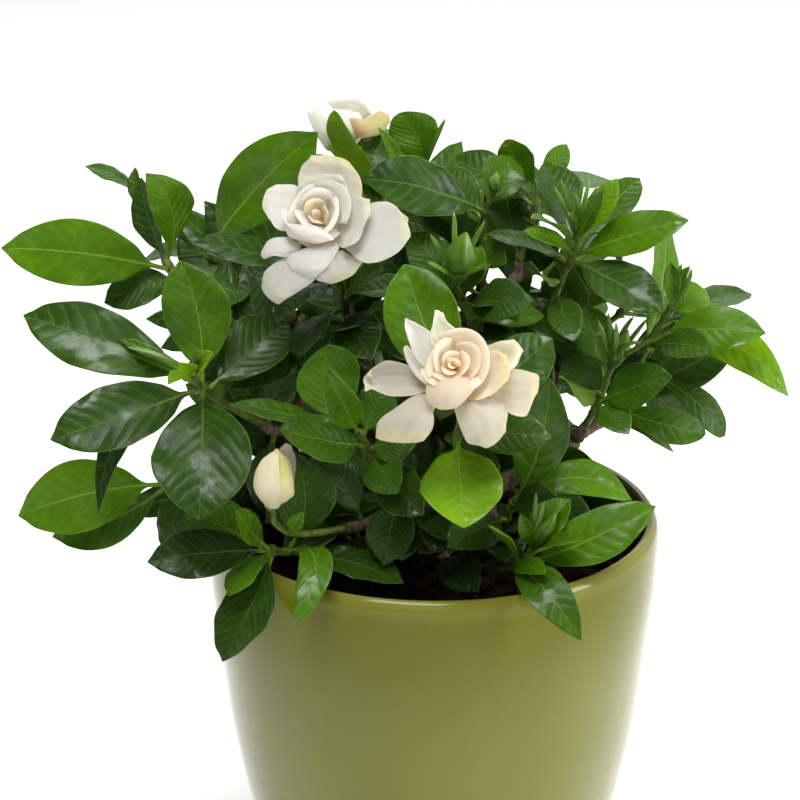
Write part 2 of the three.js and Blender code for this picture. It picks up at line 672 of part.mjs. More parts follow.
function ruledShoot({ row, height, reach, rise }, turn) {
  const draw = drawsFrom(1000 * height + turn);
  const angle = THREE.MathUtils.degToRad(turn);
  const outward = point(Math.cos(angle), Math.sin(angle), rise).normalize();
  const end = point(reach * Math.cos(angle), reach * Math.sin(angle), POT_HEIGHT + height);
  const side = point(-Math.sin(angle), Math.cos(angle), 0);
  const over = outward.clone().cross(side);
  const start = end.clone().addScaledVector(outward, -26);
  const leaves = [];
  const addWhorl = (at, count, lean, length, share, first) => {
    for (let i = 0; i < count; i++) {
      const round = first + (2 * Math.PI * i) / count + 0.5 * (draw() - 0.5);
      const tilt = THREE.MathUtils.degToRad(lean + 14 * (draw() - 0.5));
      const reached = length * (0.88 + 0.24 * draw());
      const along = outward
        .clone()
        .multiplyScalar(Math.cos(tilt))
        .addScaledVector(side, Math.sin(tilt) * Math.cos(round))
        .addScaledVector(over, Math.sin(tilt) * Math.sin(round));
      const root = start.clone().lerp(end, at);
      const tip = root.clone().addScaledVector(along, reached).add(point(0, 0, -0.1 * reached));
      leaves.push({ at, tip, wide: share * reached, face: outward, arch: 0.05 + 0.06 * draw() });
    }
  };
  addWhorl(1, 3, 56, LEAF_LENGTH, LEAF_SHARE, draw());
  addWhorl(0.3, 3, 84, LEAF_LENGTH + 4, LEAF_SHARE, 1 + draw());
  return { name: `shoot_${row}_${turn}`, from: mainFor(turn, row), stem: [start, end], leaves };
}

const ruledShoots = ROWS.flatMap((row) => row.turns.map((turn) => ruledShoot(row, turn)));

// Blooms. Each has a core on the end of its shoot's stem, outer petals with their tips in the view,
// and rings of petals round the way that it faces: of a radius, with the given length and width.

const BLOOMS = [
  {
    name: "bloom_front",
    shoot: "shoot_front",
    centre: [455, 370, -84],
    facing: point(-0.05, -0.88, 0.47),
    petals: [
      blade(1.2, [362, 381, -94], 22, UP, { arch: 0.1 }),
      blade(1.2, [387, 447, -86], 21, FRONT, { arch: 0.06 }),
      blade(1.2, [491, 452, -88], 20, FRONT, { arch: 0.08 }),
      blade(1.3, [541, 392, -84], 24, HALF_UP, { arch: 0.06 }),
      blade(1.2, [521, 346, -74], 19, FRONT, { arch: 0.04 }),
      blade(1.2, [404, 317, -78], 18, FRONT, { arch: 0.04 }),
      blade(1.2, [440, 308, -76], 20, FRONT, { arch: 0.04 }),
      blade(1.7, [507, 360, -94], 18, FRONT_LEFT, { arch: -0.1 }),
      blade(1.7, [401, 350, -96], 17, FRONT_RIGHT, { arch: -0.1 }),
      blade(1.7, [452, 326, -94], 17, FRONT, { arch: -0.1 }),
      blade(1.7, [446, 413, -100], 16, UP, { arch: -0.16 }),
    ],
    rings: [
      { count: 3, radius: 8.5, length: 13, wide: 16 },
      { count: 2, radius: 4, length: 14, wide: 11 },
    ],
  },
  {
    name: "bloom_upper",
    shoot: "shoot_upper_bloom",
    centre: [325, 232, -38],
    facing: point(-0.1, -0.75, 0.65),
    petals: [
      blade(1.3, [410, 229, -44], 24, FRONT, { arch: 0.04 }),
      blade(1.3, [262, 210, -44], 20, FRONT, { arch: 0.04 }),
      blade(1.2, [328, 153, -24], 26, FRONT, { arch: -0.1 }),
      blade(1.5, [330, 174, -36], 20, FRONT, { arch: -0.12 }),
      blade(1.4, [261, 258, -54], 17, HALF_UP, { arch: 0.08 }),
      blade(1.2, [266, 301, -54], 20, HALF_UP, { arch: 0.08 }),
      blade(1.5, [297, 277, -64], 18, HALF_UP, { arch: 0.06 }),
      blade(1.2, [338, 283, -54], 18, HALF_UP, { arch: 0.06 }),
      blade(1.6, [368, 204, -50], 19, FRONT_LEFT, { arch: -0.08 }),
    ],
    rings: [
      { count: 3, radius: 9, length: 12, wide: 17 },
      { count: 1, radius: 4.5, length: 12, wide: 10 },
    ],
  },
  {
    name: "bloom_rear",
    shoot: "shoot_rear_bloom",
    centre: [346, 128, 62],
    facing: point(0.05, 0.35, 0.93),
    petals: [
      blade(1.5, [308, 104, 56], 17, RIGHT_UP, { arch: -0.14 }),
      blade(1.5, [322, 96, 76], 20, FRONT, { arch: -0.1 }),
      blade(1.5, [362, 88, 82], 21, FRONT, { arch: -0.1 }),
      blade(1.5, [391, 112, 60], 22, UP, { arch: 0.12 }),
      blade(1.5, [372, 118, 96], 20, UP, { arch: 0.08 }),
      blade(1.5, [320, 118, 98], 20, UP, { arch: 0.08 }),
    ],
    rings: [{ count: 2, radius: 8, length: 15, wide: 17 }],
  },
  {
    name: "bud_opening",
    shoot: "shoot_bud",
    centre: [274, 497, -70],
    facing: point(0.06, -0.1, 1),
    petals: [blade(1.5, [286, 443, -64], 12, FRONT, { arch: -0.1 })],
    body: { tip: [277, 447, -70], radius: 7.4 },
    rings: [{ count: 2, radius: 4, length: 17, wide: 12, bulge: 0.22 }],
  },
];

const BLOOM_SHOOTS = [
  {
    name: "shoot_rear_bloom",
    from: ["top", 3],
    stem: [[372, 210, 36], [350, 180, 46], [344, 158, 54]],
    leaves: [blade(0.6, [300, 172, 78], 20, LEFT_UP), blade(0.8, [392, 150, 96], 21, UP)],
    lobes: [blade(1.6, [326, 144, 50], 3), blade(1.6, [362, 146, 46], 3)],
  },
  {
    name: "shoot_bud",
    from: ["front", 1.3],
    stem: [[345, 528, -46], [300, 534, -60], [276, 524, -69], [273, 511, -70]],
    leaves: [blade(1.4, [304, 512, -76], 6, FRONT, { fold: 0.6 })],
    lobes: [
      blade(2.8, [245, 472, -70], 2.6, FRONT, { sway: -0.12 }),
      blade(2.8, [301, 476, -70], 2.6, FRONT, { sway: 0.12 }),
    ],
  },
];

// Building the plant

const asPoint = (place) => (Array.isArray(place) ? seen(place) : place);

function alongStem(points, at) {
  const index = Math.min(Math.floor(at), points.length - 2);
  return points[index].clone().lerp(points[index + 1], at - index);
}

// A blade's root is sunk in its own side of the stem.
function rooted(item, points, phase) {
  const tip = asPoint(item.tip);
  const middle = alongStem(points, item.at);
  const out = tip.clone().sub(middle).setLength(ROOT_OFF_AXIS);
  return { ...item, root: middle.add(out), tip, phase };
}

// A plump bud, from the end of its stem to a blunt tip.
function budSolid(root, tip, radius) {
  const along = tip.clone().sub(root).normalize();
  const across = point(1, 0, 0).addScaledVector(along, -along.x).normalize();
  const beside = along.clone().cross(across);
  const profile = [[0, 0.4], [0.25, 0.9], [0.55, 1], [0.85, 0.6]];
  const rings = profile.map(([share, size]) =>
    Array.from({ length: BUD_SIDES }, (_, j) => {
      const turn = (2 * Math.PI * j) / BUD_SIDES;
      return root
        .clone()
        .lerp(tip, share)
        .addScaledVector(across, size * radius * Math.cos(turn))
        .addScaledVector(beside, size * radius * Math.sin(turn));
    }),
  );
  return loft(rings, tip);
}

function buildStem(shoot) {
  shoot.stem = shoot.stem.map(asPoint);
  buildBranch(shoot);
  addTo(shoot.name, stem(shoot.stem, GREEN_STEM_RADIUS, GREEN_STEM_RADIUS, BRANCH_SIDES));
  for (const { tip, radius } of shoot.buds ?? [])
    addTo(shoot.name, budSolid(shoot.stem.at(-1), asPoint(tip), radius));
}

function buildBloom({ name, shoot, centre, facing, petals, rings, body }) {
  const carrier = allShoots.find((one) => one.name === shoot).stem;
  const along = carrier.at(-1).clone().sub(carrier.at(-2)).normalize();
  const start = carrier.at(-1).clone().addScaledVector(along, TOUCH_GAP);
  const core = [start, start.clone().addScaledVector(along, 3), seen(centre)];
  addTo(name, stem(core, GREEN_STEM_RADIUS, 3, 6));
  if (body) addTo(name, budSolid(core[1], seen(body.tip), body.radius));
  petals.forEach((petal, i) =>
    placeBlade(name, PETAL, { fold: 0, cup: 0.12, ...rooted(petal, core, 0.31 * i) }),
  );
  const axis = facing.clone().normalize();
  const across = point(1, 0, 0).addScaledVector(axis, -axis.x).normalize();
  const beside = axis.clone().cross(across);
  rings.forEach(({ count, radius, length, wide, bulge = 0.1 }, ring) => {
    for (let j = 0; j < count; j++) {
      const turn = (2 * Math.PI * (j + 0.4 * ring)) / count;
      const out = across.clone().multiplyScalar(Math.cos(turn)).addScaledVector(beside, Math.sin(turn));
      const root = core[2].clone().addScaledVector(out, 1.5);
      const tip = core[2].clone().addScaledVector(axis, length).addScaledVector(out, radius);
      const face = out.clone().negate();
      placeBlade(name, PETAL, { root, tip, wide, face, fold: 0, cup: 0.4, arch: -bulge, wave: 0.05 });
    }
  });
}

const allShoots = [...SHOOTS, ...BLOOM_SHOOTS, ...ruledShoots];
buildPot();
buildSoil();
buildTrunk();
allShoots.forEach(buildStem);
BLOOMS.forEach(buildBloom);
for (const { name, stem: points, lobes = [] } of allShoots)
  for (const lobe of lobes) placeBlade(name, LOBE, { ...rooted(lobe, points, 0), fold: 0.3 });
for (const { name, stem: points, leaves } of allShoots)
  leaves.forEach((leaf, i) =>
    placeBlade(name, leaf.wide < NARROW ? NARROW_LEAF : LEAF, rooted(leaf, points, 0.37 * i), true),
  );

const material = (color, roughness) => new THREE.MeshStandardMaterial({ color, roughness, metalness: 0 });
const MATERIALS = [
  [/^pot/, material(0x80824a, 0.15)],
  [/^soil/, material(0x2a1c14, 0.95)],
  [/^trunk/, material(0x5b4a3a, 0.85)],
  [/^bloom|^bud/, material(0xf2e9d8, 0.55)],
  [/./, material(0x2f6a1e, 0.35)],
];

const plant = new THREE.Group();
for (const [name, pieces] of nodes) {
  const joined = pieces.map(({ solid }) => solid).reduce((whole, piece) => whole.add(piece));
  const [body] = joined.decompose().sort((a, b) => b.volume() - a.volume());
  const mesh = new THREE.Mesh(geometryOf(body), MATERIALS.find(([names]) => names.test(name))[1]);
  mesh.name = name;
  plant.add(mesh);
}

export default plant;
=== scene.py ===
# Looks of the potted gardenia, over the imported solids: fine leaves, layered petals, bark, soil and glaze.
import math

import bpy
import numpy as np
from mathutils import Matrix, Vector, noise
from mathutils.kdtree import KDTree


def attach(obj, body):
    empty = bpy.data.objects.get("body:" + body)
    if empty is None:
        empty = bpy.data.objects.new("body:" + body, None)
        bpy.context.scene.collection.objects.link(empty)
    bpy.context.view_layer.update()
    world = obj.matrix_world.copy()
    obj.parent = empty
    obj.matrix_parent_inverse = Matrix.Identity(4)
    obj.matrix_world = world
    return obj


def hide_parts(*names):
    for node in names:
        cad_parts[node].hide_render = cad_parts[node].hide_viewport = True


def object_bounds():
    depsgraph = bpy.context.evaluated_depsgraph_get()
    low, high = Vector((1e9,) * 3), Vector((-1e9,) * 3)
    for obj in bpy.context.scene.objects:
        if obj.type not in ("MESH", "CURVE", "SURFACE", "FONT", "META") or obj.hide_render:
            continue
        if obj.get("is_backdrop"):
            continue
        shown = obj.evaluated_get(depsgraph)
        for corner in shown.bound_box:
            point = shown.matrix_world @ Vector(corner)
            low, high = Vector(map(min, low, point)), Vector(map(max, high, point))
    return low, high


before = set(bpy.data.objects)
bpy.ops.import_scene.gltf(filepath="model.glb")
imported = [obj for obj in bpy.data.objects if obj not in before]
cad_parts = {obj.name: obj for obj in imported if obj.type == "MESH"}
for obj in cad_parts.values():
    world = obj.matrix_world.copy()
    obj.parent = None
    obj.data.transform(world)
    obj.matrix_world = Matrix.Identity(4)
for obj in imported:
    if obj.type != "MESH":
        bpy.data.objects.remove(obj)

CAD_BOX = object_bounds()

# Everything below is in millimetres until a mesh is made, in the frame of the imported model.
MM = 0.001
POT_HEIGHT = 172.0
POT_WALL = 6.0
SOIL_TOP = 155.0
SOIL_RADIUS = 88.4

# The view that places are read in, as (column, row, depth) of an 800 by 800 picture.
PITCH = math.radians(20.25)
EYE = np.array([-14.0, -1032.0, 602.3])
SLOPE = 0.0003764
MIDDLE = 400
AHEAD = np.array([0, math.cos(PITCH), -math.sin(PITCH)])
ABOVE = np.array([0, math.sin(PITCH), math.cos(PITCH)])


def point(*values):
    return np.array(values, float)


def ray_through(column, row):
    return AHEAD + ABOVE * ((MIDDLE - row) * SLOPE) + point((column - MIDDLE) * SLOPE, 0, 0)


def seen(place):
    column, row, depth = place
    ray = ray_through(column, row)
    return EYE + ray * ((depth - EYE[1]) / ray[1])


def in_view(p):
    away = p - EYE
    far = away @ AHEAD
    return point(MIDDLE + away[0] / far / SLOPE, MIDDLE - (away @ ABOVE) / far / SLOPE)


def unit(v):
    return v / np.linalg.norm(v, axis=-1, keepdims=True)


def ease(low, high, x):
    s = np.clip((x - low) / (high - low), 0, 1)
    return s * s * (3 - 2 * s)


def lengths_along(p):
    return np.concatenate([[0], np.cumsum(np.linalg.norm(np.diff(p, axis=0), axis=1))])


def curve_through(points, count):
    """A smooth curve through the points, evenly counted from the first to the last."""
    p = np.asarray(points, float)
    p = np.vstack([2 * p[0] - p[1], p, 2 * p[-1] - p[-2]])
    s = np.linspace(0, len(p) - 3 - 1e-9, count)
    i = s.astype(int)
    f = (s - i)[:, None]
    a, b, c, d = p[i], p[i + 1], p[i + 2], p[i + 3]
    return 0.5 * (2 * b + (c - a) * f + (2 * a - 5 * b + 4 * c - d) * f**2 + (3 * b - a - 3 * c + d) * f**3)


def axes_round(axis):
    """Two directions square to the axis and to each other."""
    across = unit(point(1, 0, 0) - axis * axis[0])
    return across, np.cross(axis, across)


def full_turn(count):
    return np.linspace(0, 2 * math.pi, count, endpoint=False)


def seed_of(*numbers):
    return (math.sin(sum((i + 1.7) * n for i, n in enumerate(numbers)) * 12.9898) * 43758.5453) % 1


# Meshes. A part is (points, quads, place, traits, material number), and a piece is made of parts.
# place is where a point lies on its blade or stem. traits are its tone, its seed, its share of the way
# from the base to the tip, and 1 on the underside of a blade or 0 elsewhere.

def stacked(*values):
    """The values side by side, each spread over all the rows and columns."""
    return np.stack(np.broadcast_arrays(*values), -1)


def grid_quads(rows, columns, closed=False):
    across = columns if closed else columns - 1
    i, j = np.meshgrid(np.arange(rows - 1), np.arange(across), indexing="ij")
    k = (j + 1) % columns
    row, after = i * columns, (i + 1) * columns
    return stacked(row + j, row + k, after + k, after + j).reshape(-1, 4)


def part(points, quads, place=None, traits=None, material=0):
    points = points.reshape(-1, 3)
    place = np.zeros(points.shape) if place is None else place.reshape(-1, 3)
    traits = np.zeros((len(points), 4)) if traits is None else traits.reshape(-1, 4)
    return points, quads, place, traits, material


def sheet_part(middle, half_thick, place, traits, material):
    """A thin blade on both sides of its middle surface, joined round the edge."""
    rows, columns = middle.shape[:2]
    n = rows * columns
    top = grid_quads(rows, columns)
    ring = [i * columns for i in range(rows)]
    ring += [(rows - 1) * columns + j for j in range(1, columns)]
    ring += [i * columns + columns - 1 for i in range(rows - 2, -1, -1)]
    ring += list(range(columns - 2, 0, -1))
    ring = np.array(ring)
    after = np.roll(ring, -1)
    quads = np.vstack([top, top[:, ::-1] + n, stacked(ring, after, after + n, ring + n)])
    traits = np.vstack([traits.reshape(-1, 4)] * 2)
    traits[n:, 3] = 1
    place = np.vstack([place.reshape(-1, 3)] * 2)
    return part(np.concatenate([middle + half_thick, middle - half_thick]), quads, place, traits, material)


def tube_part(points, radii, sides, tone, seed, material=0, rough=None):
    """A round stem with closed ends. rough(points, turns) gives a share to add to the radius."""
    p = np.asarray(points, float)
    along = unit(np.gradient(p, axis=0))
    across = np.empty_like(p)
    guide = point(0.05, 1, 0.13)
    for i, a in enumerate(along):
        guide = unit(guide - a * (guide @ a))
        across[i] = guide
    beside = np.cross(along, across)
    turn = full_turn(sides)
    r = np.asarray(radii, float)[:, None] * np.ones(sides)
    if rough is not None:
        r = r * (1 + rough(p, turn))
    spokes = across[:, None] * np.cos(turn)[None, :, None] + beside[:, None] * np.sin(turn)[None, :, None]
    rings = p[:, None] + r[..., None] * spokes
    first = p[0] + (rings[:1] - p[0]) * 0.05
    last = p[-1] + (rings[-1:] - p[-1]) * 0.05
    rings = np.concatenate([first, rings, last])
    length = lengths_along(p)
    length = np.concatenate([[0], length, [length[-1]]])[:, None]
    place = stacked(length, turn, 0.0)
    traits = stacked(tone, seed, length / max(length[-1, 0], 1e-6), 0 * turn)
    return part(rings, grid_quads(len(rings), sides, closed=True), place, traits, material)


def fill(items, key, values, kind=np.float32):
    items.foreach_set(key, np.asarray(values).astype(kind).ravel())


def make_piece(name, parts, materials, slot, *nodes):
    points, quads, places, traits, numbers = zip(*parts)
    starts = np.cumsum([0] + [len(p) for p in points])
    numbers = np.repeat(numbers, [len(q) for q in quads])
    quads = np.vstack([q + start for q, start in zip(quads, starts)])
    points = np.clip(np.vstack(points) * MM, *np.array(CAD_BOX))
    mesh = bpy.data.meshes.new(name)
    mesh.vertices.add(len(points))
    mesh.loops.add(quads.size)
    mesh.polygons.add(len(quads))
    fill(mesh.vertices, "co", points)
    fill(mesh.loops, "vertex_index", quads, np.int32)
    fill(mesh.polygons, "loop_start", np.arange(0, quads.size, 4), np.int32)
    fill(mesh.polygons, "use_smooth", np.ones(len(quads)), bool)
    fill(mesh.polygons, "material_index", numbers, np.int32)
    fill(mesh.attributes.new("place", "FLOAT_VECTOR", "POINT").data, "vector", np.vstack(places))
    fill(mesh.attributes.new("traits", "FLOAT_COLOR", "POINT").data, "color", np.vstack(traits))
    for m in materials:
        mesh.materials.append(m)
    mesh.update(calc_edges=True)
    mesh.validate()
    piece = bpy.data.objects.new(name, mesh)
    bpy.context.scene.collection.objects.link(piece)
    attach(piece, "root")
    if nodes:
        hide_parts(*nodes)


# Materials

def operation(name, swapped=False):
    """A method that joins its value and another by a maths node."""
    def method(self, other):
        return self.nodes.math(name, *((other, self) if swapped else (self, other)))
    return method


class Value:
    """A node's output, which sums and products can be written with."""

    def __init__(self, nodes, socket):
        self.nodes, self.socket = nodes, socket

    def __abs__(self):
        return self.nodes.math("ABSOLUTE", self)

    __add__ = __radd__ = operation("ADD")
    __mul__ = __rmul__ = operation("MULTIPLY")
    __sub__ = operation("SUBTRACT")
    __rsub__ = operation("SUBTRACT", swapped=True)
    __pow__ = operation("POWER")


class Nodes:
    """A node tree, with short calls for the nodes used here. Each gives a Value."""

    def __init__(self, tree):
        self.tree = tree

    def put(self, socket, value):
        if isinstance(value, Value):
            self.tree.links.new(value.socket, socket)
        elif isinstance(value, tuple) and socket.type == "RGBA":
            socket.default_value = (*value, 1)
        else:
            socket.default_value = value

    def node(self, kind, inputs=(), **settings):
        made = self.tree.nodes.new(kind)
        for key, value in settings.items():
            setattr(made, key, value)
        for key, value in dict(inputs).items():
            self.put(made.inputs[key], value)
        return made

    def value(self, kind, inputs=(), output=0, **settings):
        return Value(self, self.node(kind, inputs, **settings).outputs[output])

    def split(self, vector):
        return [Value(self, socket) for socket in self.node("ShaderNodeSeparateXYZ", {0: vector}).outputs]

    def math(self, operation, *values, clamp=False):
        return self.value("ShaderNodeMath", enumerate(values), operation=operation, use_clamp=clamp)

    def span(self, value, low, high, to_low=0.0, to_high=1.0):
        inputs = enumerate((value, low, high, to_low, to_high))
        return self.value("ShaderNodeMapRange", inputs, interpolation_type="SMOOTHSTEP")

    def mix(self, share, a, b):
        return self.value("ShaderNodeMix", {0: share, 6: a, 7: b}, 2, data_type="RGBA")

    def layers(self, colour, *coats):
        """The colour with each (share, colour) laid over it in turn."""
        for share, coat in coats:
            colour = self.mix(share, colour, coat)
        return colour

    def ramp(self, value, *stops):
        made = self.node("ShaderNodeValToRGB", {0: value})
        elements = made.color_ramp.elements
        while len(elements) < len(stops):
            elements.new(0.5)
        for element, (place, colour) in zip(elements, stops):
            element.position = place
            element.color = (*colour, 1)
        return Value(self, made.outputs[0])


class Shader(Nodes):
    """A material's nodes. Patterns lie on the object itself, unless they are given a vector."""

    def __init__(self, name):
        self.material = bpy.data.materials.new(name)
        self.material.use_nodes = True
        super().__init__(self.material.node_tree)
        self.surface = self.tree.nodes["Principled BSDF"]
        self.spot = self.value("ShaderNodeTexCoord", output="Object")
        self.place, self.traits = self.attribute("place"), self.attribute("traits")

    def attribute(self, name, output="Vector"):
        return self.value("ShaderNodeAttribute", output=output, attribute_name=name)

    def set(self, **values):
        for key, value in values.items():
            self.put(self.surface.inputs[key.replace("_", " ")], value)
        return self.material

    def noise(self, scale, detail=3.0, vector=None, rough=0.5):
        inputs = {"Scale": scale, "Detail": detail, "Roughness": rough, "Vector": vector or self.spot}
        return self.value("ShaderNodeTexNoise", inputs)

    def stretched(self, vector, *scale):
        return self.value("ShaderNodeMapping", {"Vector": vector, "Scale": scale})

    def bump(self, height, distance, strength=1.0, **more):
        inputs = {"Height": height, "Distance": distance * MM, "Strength": strength, **more}
        return self.value("ShaderNodeBump", inputs)

    def let_light_through(self, share, colour, normal):
        glow = self.value("ShaderNodeBsdfTranslucent", {"Color": colour, "Normal": normal})
        surface = Value(self, self.surface.outputs[0])
        both = self.value("ShaderNodeMixShader", {0: share, 1: surface, 2: glow})
        self.put(self.tree.nodes["Material Output"].inputs["Surface"], both)


def leaf_material():
    s = Shader("leaf")
    x, y, w = s.split(s.place)
    tone, seed, t = s.split(s.traits)
    under = s.attribute("traits", "Alpha")
    side, edge = abs(y), abs(w)
    # Side veins leave the midrib at a slant and bend towards the tip, not quite in pairs.
    drift = (s.noise(1.4, 2.0, s.place) - 0.5) * 0.35
    slant = side * 0.75 + side * side * 0.16
    pair = s.math("GREATER_THAN", y, 0.0) * 0.32
    apart = 0.5 - abs(s.math("FRACT", x - slant + pair + (seed + drift)) - 0.5)
    in_blade = s.span(edge, 0.98, 0.72) * s.span(t, 0.1, 0.16)
    puff = s.math("MULTIPLY", apart, 2.0, clamp=True) ** 0.6 * in_blade
    line = s.span(apart, 0.045, 0.0) * in_blade
    # Lighter towards the side veins and darker between them: partly the veins' own colour, partly painted
    # shade of the quilting.
    near = s.span(apart, 0.34, 0.02) * in_blade
    rib = s.span(side, (1.15 - t) * 0.13, 0.015) * s.span(t, 1.0, 0.9)
    net = {"Vector": s.place, "Scale": 5.5}
    net = s.value("ShaderNodeTexVoronoi", net, voronoi_dimensions="2D", feature="DISTANCE_TO_EDGE")
    shade = tone + (s.noise(70.0) - 0.5) * 0.42 + (s.noise(2.2, 2.0, s.place) - 0.5) * 0.34
    top = s.ramp(
        shade, (0.0, (0.013, 0.034, 0.006)), (0.2, (0.026, 0.072, 0.005)), (0.4, (0.046, 0.122, 0.003)),
        (0.6, (0.078, 0.195, 0.002)), (0.8, (0.118, 0.265, 0.002)), (1.0, (0.2, 0.37, 0.004)),
    )
    back = s.ramp(shade, (0.0, (0.06, 0.11, 0.02)), (0.5, (0.12, 0.22, 0.02)), (1.0, (0.26, 0.42, 0.04)))
    colour = s.mix(under, top, back)
    light = s.mix(0.42, colour, (0.2, 0.34, 0.03))
    midrib = s.mix(s.span(tone, 0.0, 0.7), (0.13, 0.22, 0.03), (0.32, 0.45, 0.05))
    margin, stalk = s.span(edge, 0.955, 1.0), s.span(t, 0.13, 0.07)
    colour = s.layers(
        colour, (near * 0.14, light), (line * 0.4, light), (rib * 0.6, midrib),
        (margin * 0.45, (0.2, 0.32, 0.03)), (stalk * 0.8, (0.16, 0.27, 0.03)),
    )
    height = (puff * 0.5 + s.span(net, 0.0, 0.16) * 0.06 - rib * 0.35) * (1.0 - under * 1.9)
    normal = s.bump(height + s.noise(75.0, 2.0) * 1.6, 0.5, 0.75)
    normal = s.bump(s.noise(900.0, 1.0), 0.03, 0.5, Normal=normal)
    gloss = s.noise(130.0, 2.0) + under
    wet = s.span(s.noise(85.0, 4.0, rough=0.6), 0.47, 0.66) * (1.0 - under)
    s.let_light_through(0.25, s.mix(0.6, colour, (0.28, 0.5, 0.01)), normal)
    return s.set(
        Base_Color=colour, Roughness=s.span(gloss, 0.2, 1.4, 0.24, 0.6), Normal=normal,
        Specular_IOR_Level=0.18, Coat_Weight=wet * 0.42, Coat_Roughness=0.11,
    )


def stem_material(name, dark, light, fineness, relief, *gloss):
    s = Shader(name)
    grain = s.noise(fineness, 5.0, s.stretched(s.spot, 1.0, 1.0, 0.35), 0.65)
    ring = abs(s.math("SINE", s.split(s.place)[0] * 0.26)) ** 30.0
    colour = s.mix(s.span(grain + (s.noise(60.0) - 0.5) * 0.6, 0.3, 0.7), dark, light)
    return s.set(
        Base_Color=s.mix(ring * 0.4, colour, dark), Roughness=s.span(grain, 0.2, 0.8, *gloss),
        Normal=s.bump(grain + ring * 0.3, relief, 0.8), Specular_IOR_Level=0.2,
    )


def petal_material():
    """A petal's tone is its warmth: 1 at the heart, 0 where pale, and outside 0 to 1 for other finishes.
    Painted light and shade among these: the warm petals' glow, the grey below -1, the tan at outer bases,
    and in part the near-white below 0.
    """
    s = Shader("petal")
    edge = abs(s.split(s.place)[2])
    warm, _, t = s.split(s.traits)
    fibre = s.noise(1.1, 3.0, s.stretched(s.place, 0.045, 1.0, 1.0), 0.6)
    cloud = s.noise(55.0)
    pale = s.mix(s.span(cloud, 0.35, 0.7), (0.57, 0.56, 0.52), (0.63, 0.62, 0.57))
    cream = s.mix(s.span(cloud, 0.3, 0.7), (1.0, 0.84, 0.58), (1.0, 0.86, 0.64))
    pale = s.layers(
        pale, (s.span(warm, 0.14, 0.0), (0.62, 0.625, 0.585)), (s.span(warm, 0.0, -0.05), (0.88, 0.83, 0.76))
    )
    fade = s.math("MAXIMUM", s.span(edge, 0.82, 1.0, 0.0, 0.55), s.span(t, 0.66, 1.0))
    fade = fade * s.span(cloud + warm * 0.3, 0.35, 0.7)
    fade = fade * (s.span(warm, 0.85, 0.6, 0.25, 1.0) * s.span(warm, -0.04, 0.03))
    margin = s.mix(s.span(warm, 0.1, 0.3), (0.8, 0.82, 0.4), (0.93, 0.78, 0.36))
    inner = s.span(warm, 0.65, 0.8) * s.span(warm, 1.2, 1.0)
    yellow = s.mix(s.span(cloud, 0.4, 0.6), (0.74, 0.7, 0.2), (0.92, 0.85, 0.48))
    blush = s.span(t, 0.6, 0.0) * s.math("MULTIPLY", warm, 0.6, clamp=True)
    colour = s.layers(
        pale,
        (warm * s.span(t, 1.05, 0.25, 0.45, 1.0), cream),
        (fade * 0.75, margin),
        (inner * s.span(t, 0.75, 1.0, 0.0, 0.6), (1.0, 0.92, 0.8)),
        # Near-white below 0: partly painted light, on petals that face the lamps or are lit from behind.
        (s.span(warm, 0.0, -0.2), (0.96, 0.96, 0.9)),
        (s.span(warm, -0.2, -0.6), yellow),
        # Grey for tints below -1: painted shade on a petal at the back.
        (s.span(warm, -1.0, -1.4), (0.36, 0.34, 0.28)),
        (s.span(warm, 1.1, 1.5), (0.62, 0.55, 0.26)),
        (blush, (0.9, 0.62, 0.42)),
        # Greyish tan towards the bases of the outer petals: painted shade.
        (s.span(t, 0.45, 0.0) * s.span(warm, 0.6, 0.4, 0.0, 0.5), (0.5, 0.45, 0.36)),
        (s.span(fibre, 0.56, 0.78, 0.0, 0.16), (0.6, 0.53, 0.42)),
    )
    normal = s.bump(fibre * 0.25 + s.noise(120.0) * 0.9, 0.5, 0.55)
    normal = s.bump(s.noise(1500.0, 2.0), 0.03, 0.4, Normal=normal)
    s.let_light_through(0.46, s.mix(0.3, colour, (0.98, 0.9, 0.74)), normal)
    # The faint glow of warm petals, in their own colour, is painted light that lifts the shade in the heart.
    return s.set(
        Base_Color=colour, Roughness=s.span(cloud, 0.2, 0.8, 0.42, 0.6), Normal=normal,
        Specular_IOR_Level=0.35, Sheen_Weight=0.15, Sheen_Roughness=0.4, Subsurface_Weight=0.4,
        Subsurface_Scale=0.0022, Subsurface_Radius=(1.0, 0.75, 0.5), Emission_Color=colour,
        Emission_Strength=s.span(warm, 0.45, 1.0, 0.005, 0.1) * s.span(warm, 1.4, 1.1),
    )


def sepal_material():
    s = Shader("green_bud")
    patches = s.noise(160.0)
    shade = s.split(s.traits)[2] * 0.5 + patches * 0.5
    dark, middle, light = (0.035, 0.09, 0.004), (0.085, 0.19, 0.005), (0.2, 0.33, 0.015)
    colour = s.ramp(shade, (0.2, dark), (0.6, middle), (1.0, light))
    normal = s.bump(s.noise(700.0), 0.08, 0.6)
    s.let_light_through(0.25, s.mix(0.5, colour, (0.35, 0.55, 0.02)), normal)
    return s.set(
        Base_Color=colour, Roughness=s.span(patches, 0.3, 0.7, 0.32, 0.5), Normal=normal,
        Coat_Weight=0.2, Coat_Roughness=0.2,
    )


def soil_material():
    s = Shader("potting_soil")
    fine, lumps = s.noise(900.0, 6.0, rough=0.7), s.noise(220.0, 5.0, rough=0.65)
    dark, middle, light = (0.003, 0.002, 0.001), (0.011, 0.006, 0.004), (0.032, 0.017, 0.01)
    colour = s.ramp(lumps * 0.6 + fine * 0.4, (0.3, dark), (0.55, middle), (0.75, light))
    return s.set(
        Base_Color=s.mix(s.split(s.traits)[0] * 0.8, colour, (0.055, 0.02, 0.01)),
        Roughness=s.span(fine, 0.3, 0.7, 0.75, 0.98), Normal=s.bump(lumps + fine * 0.5, 2.2),
        Specular_IOR_Level=0.08,
    )


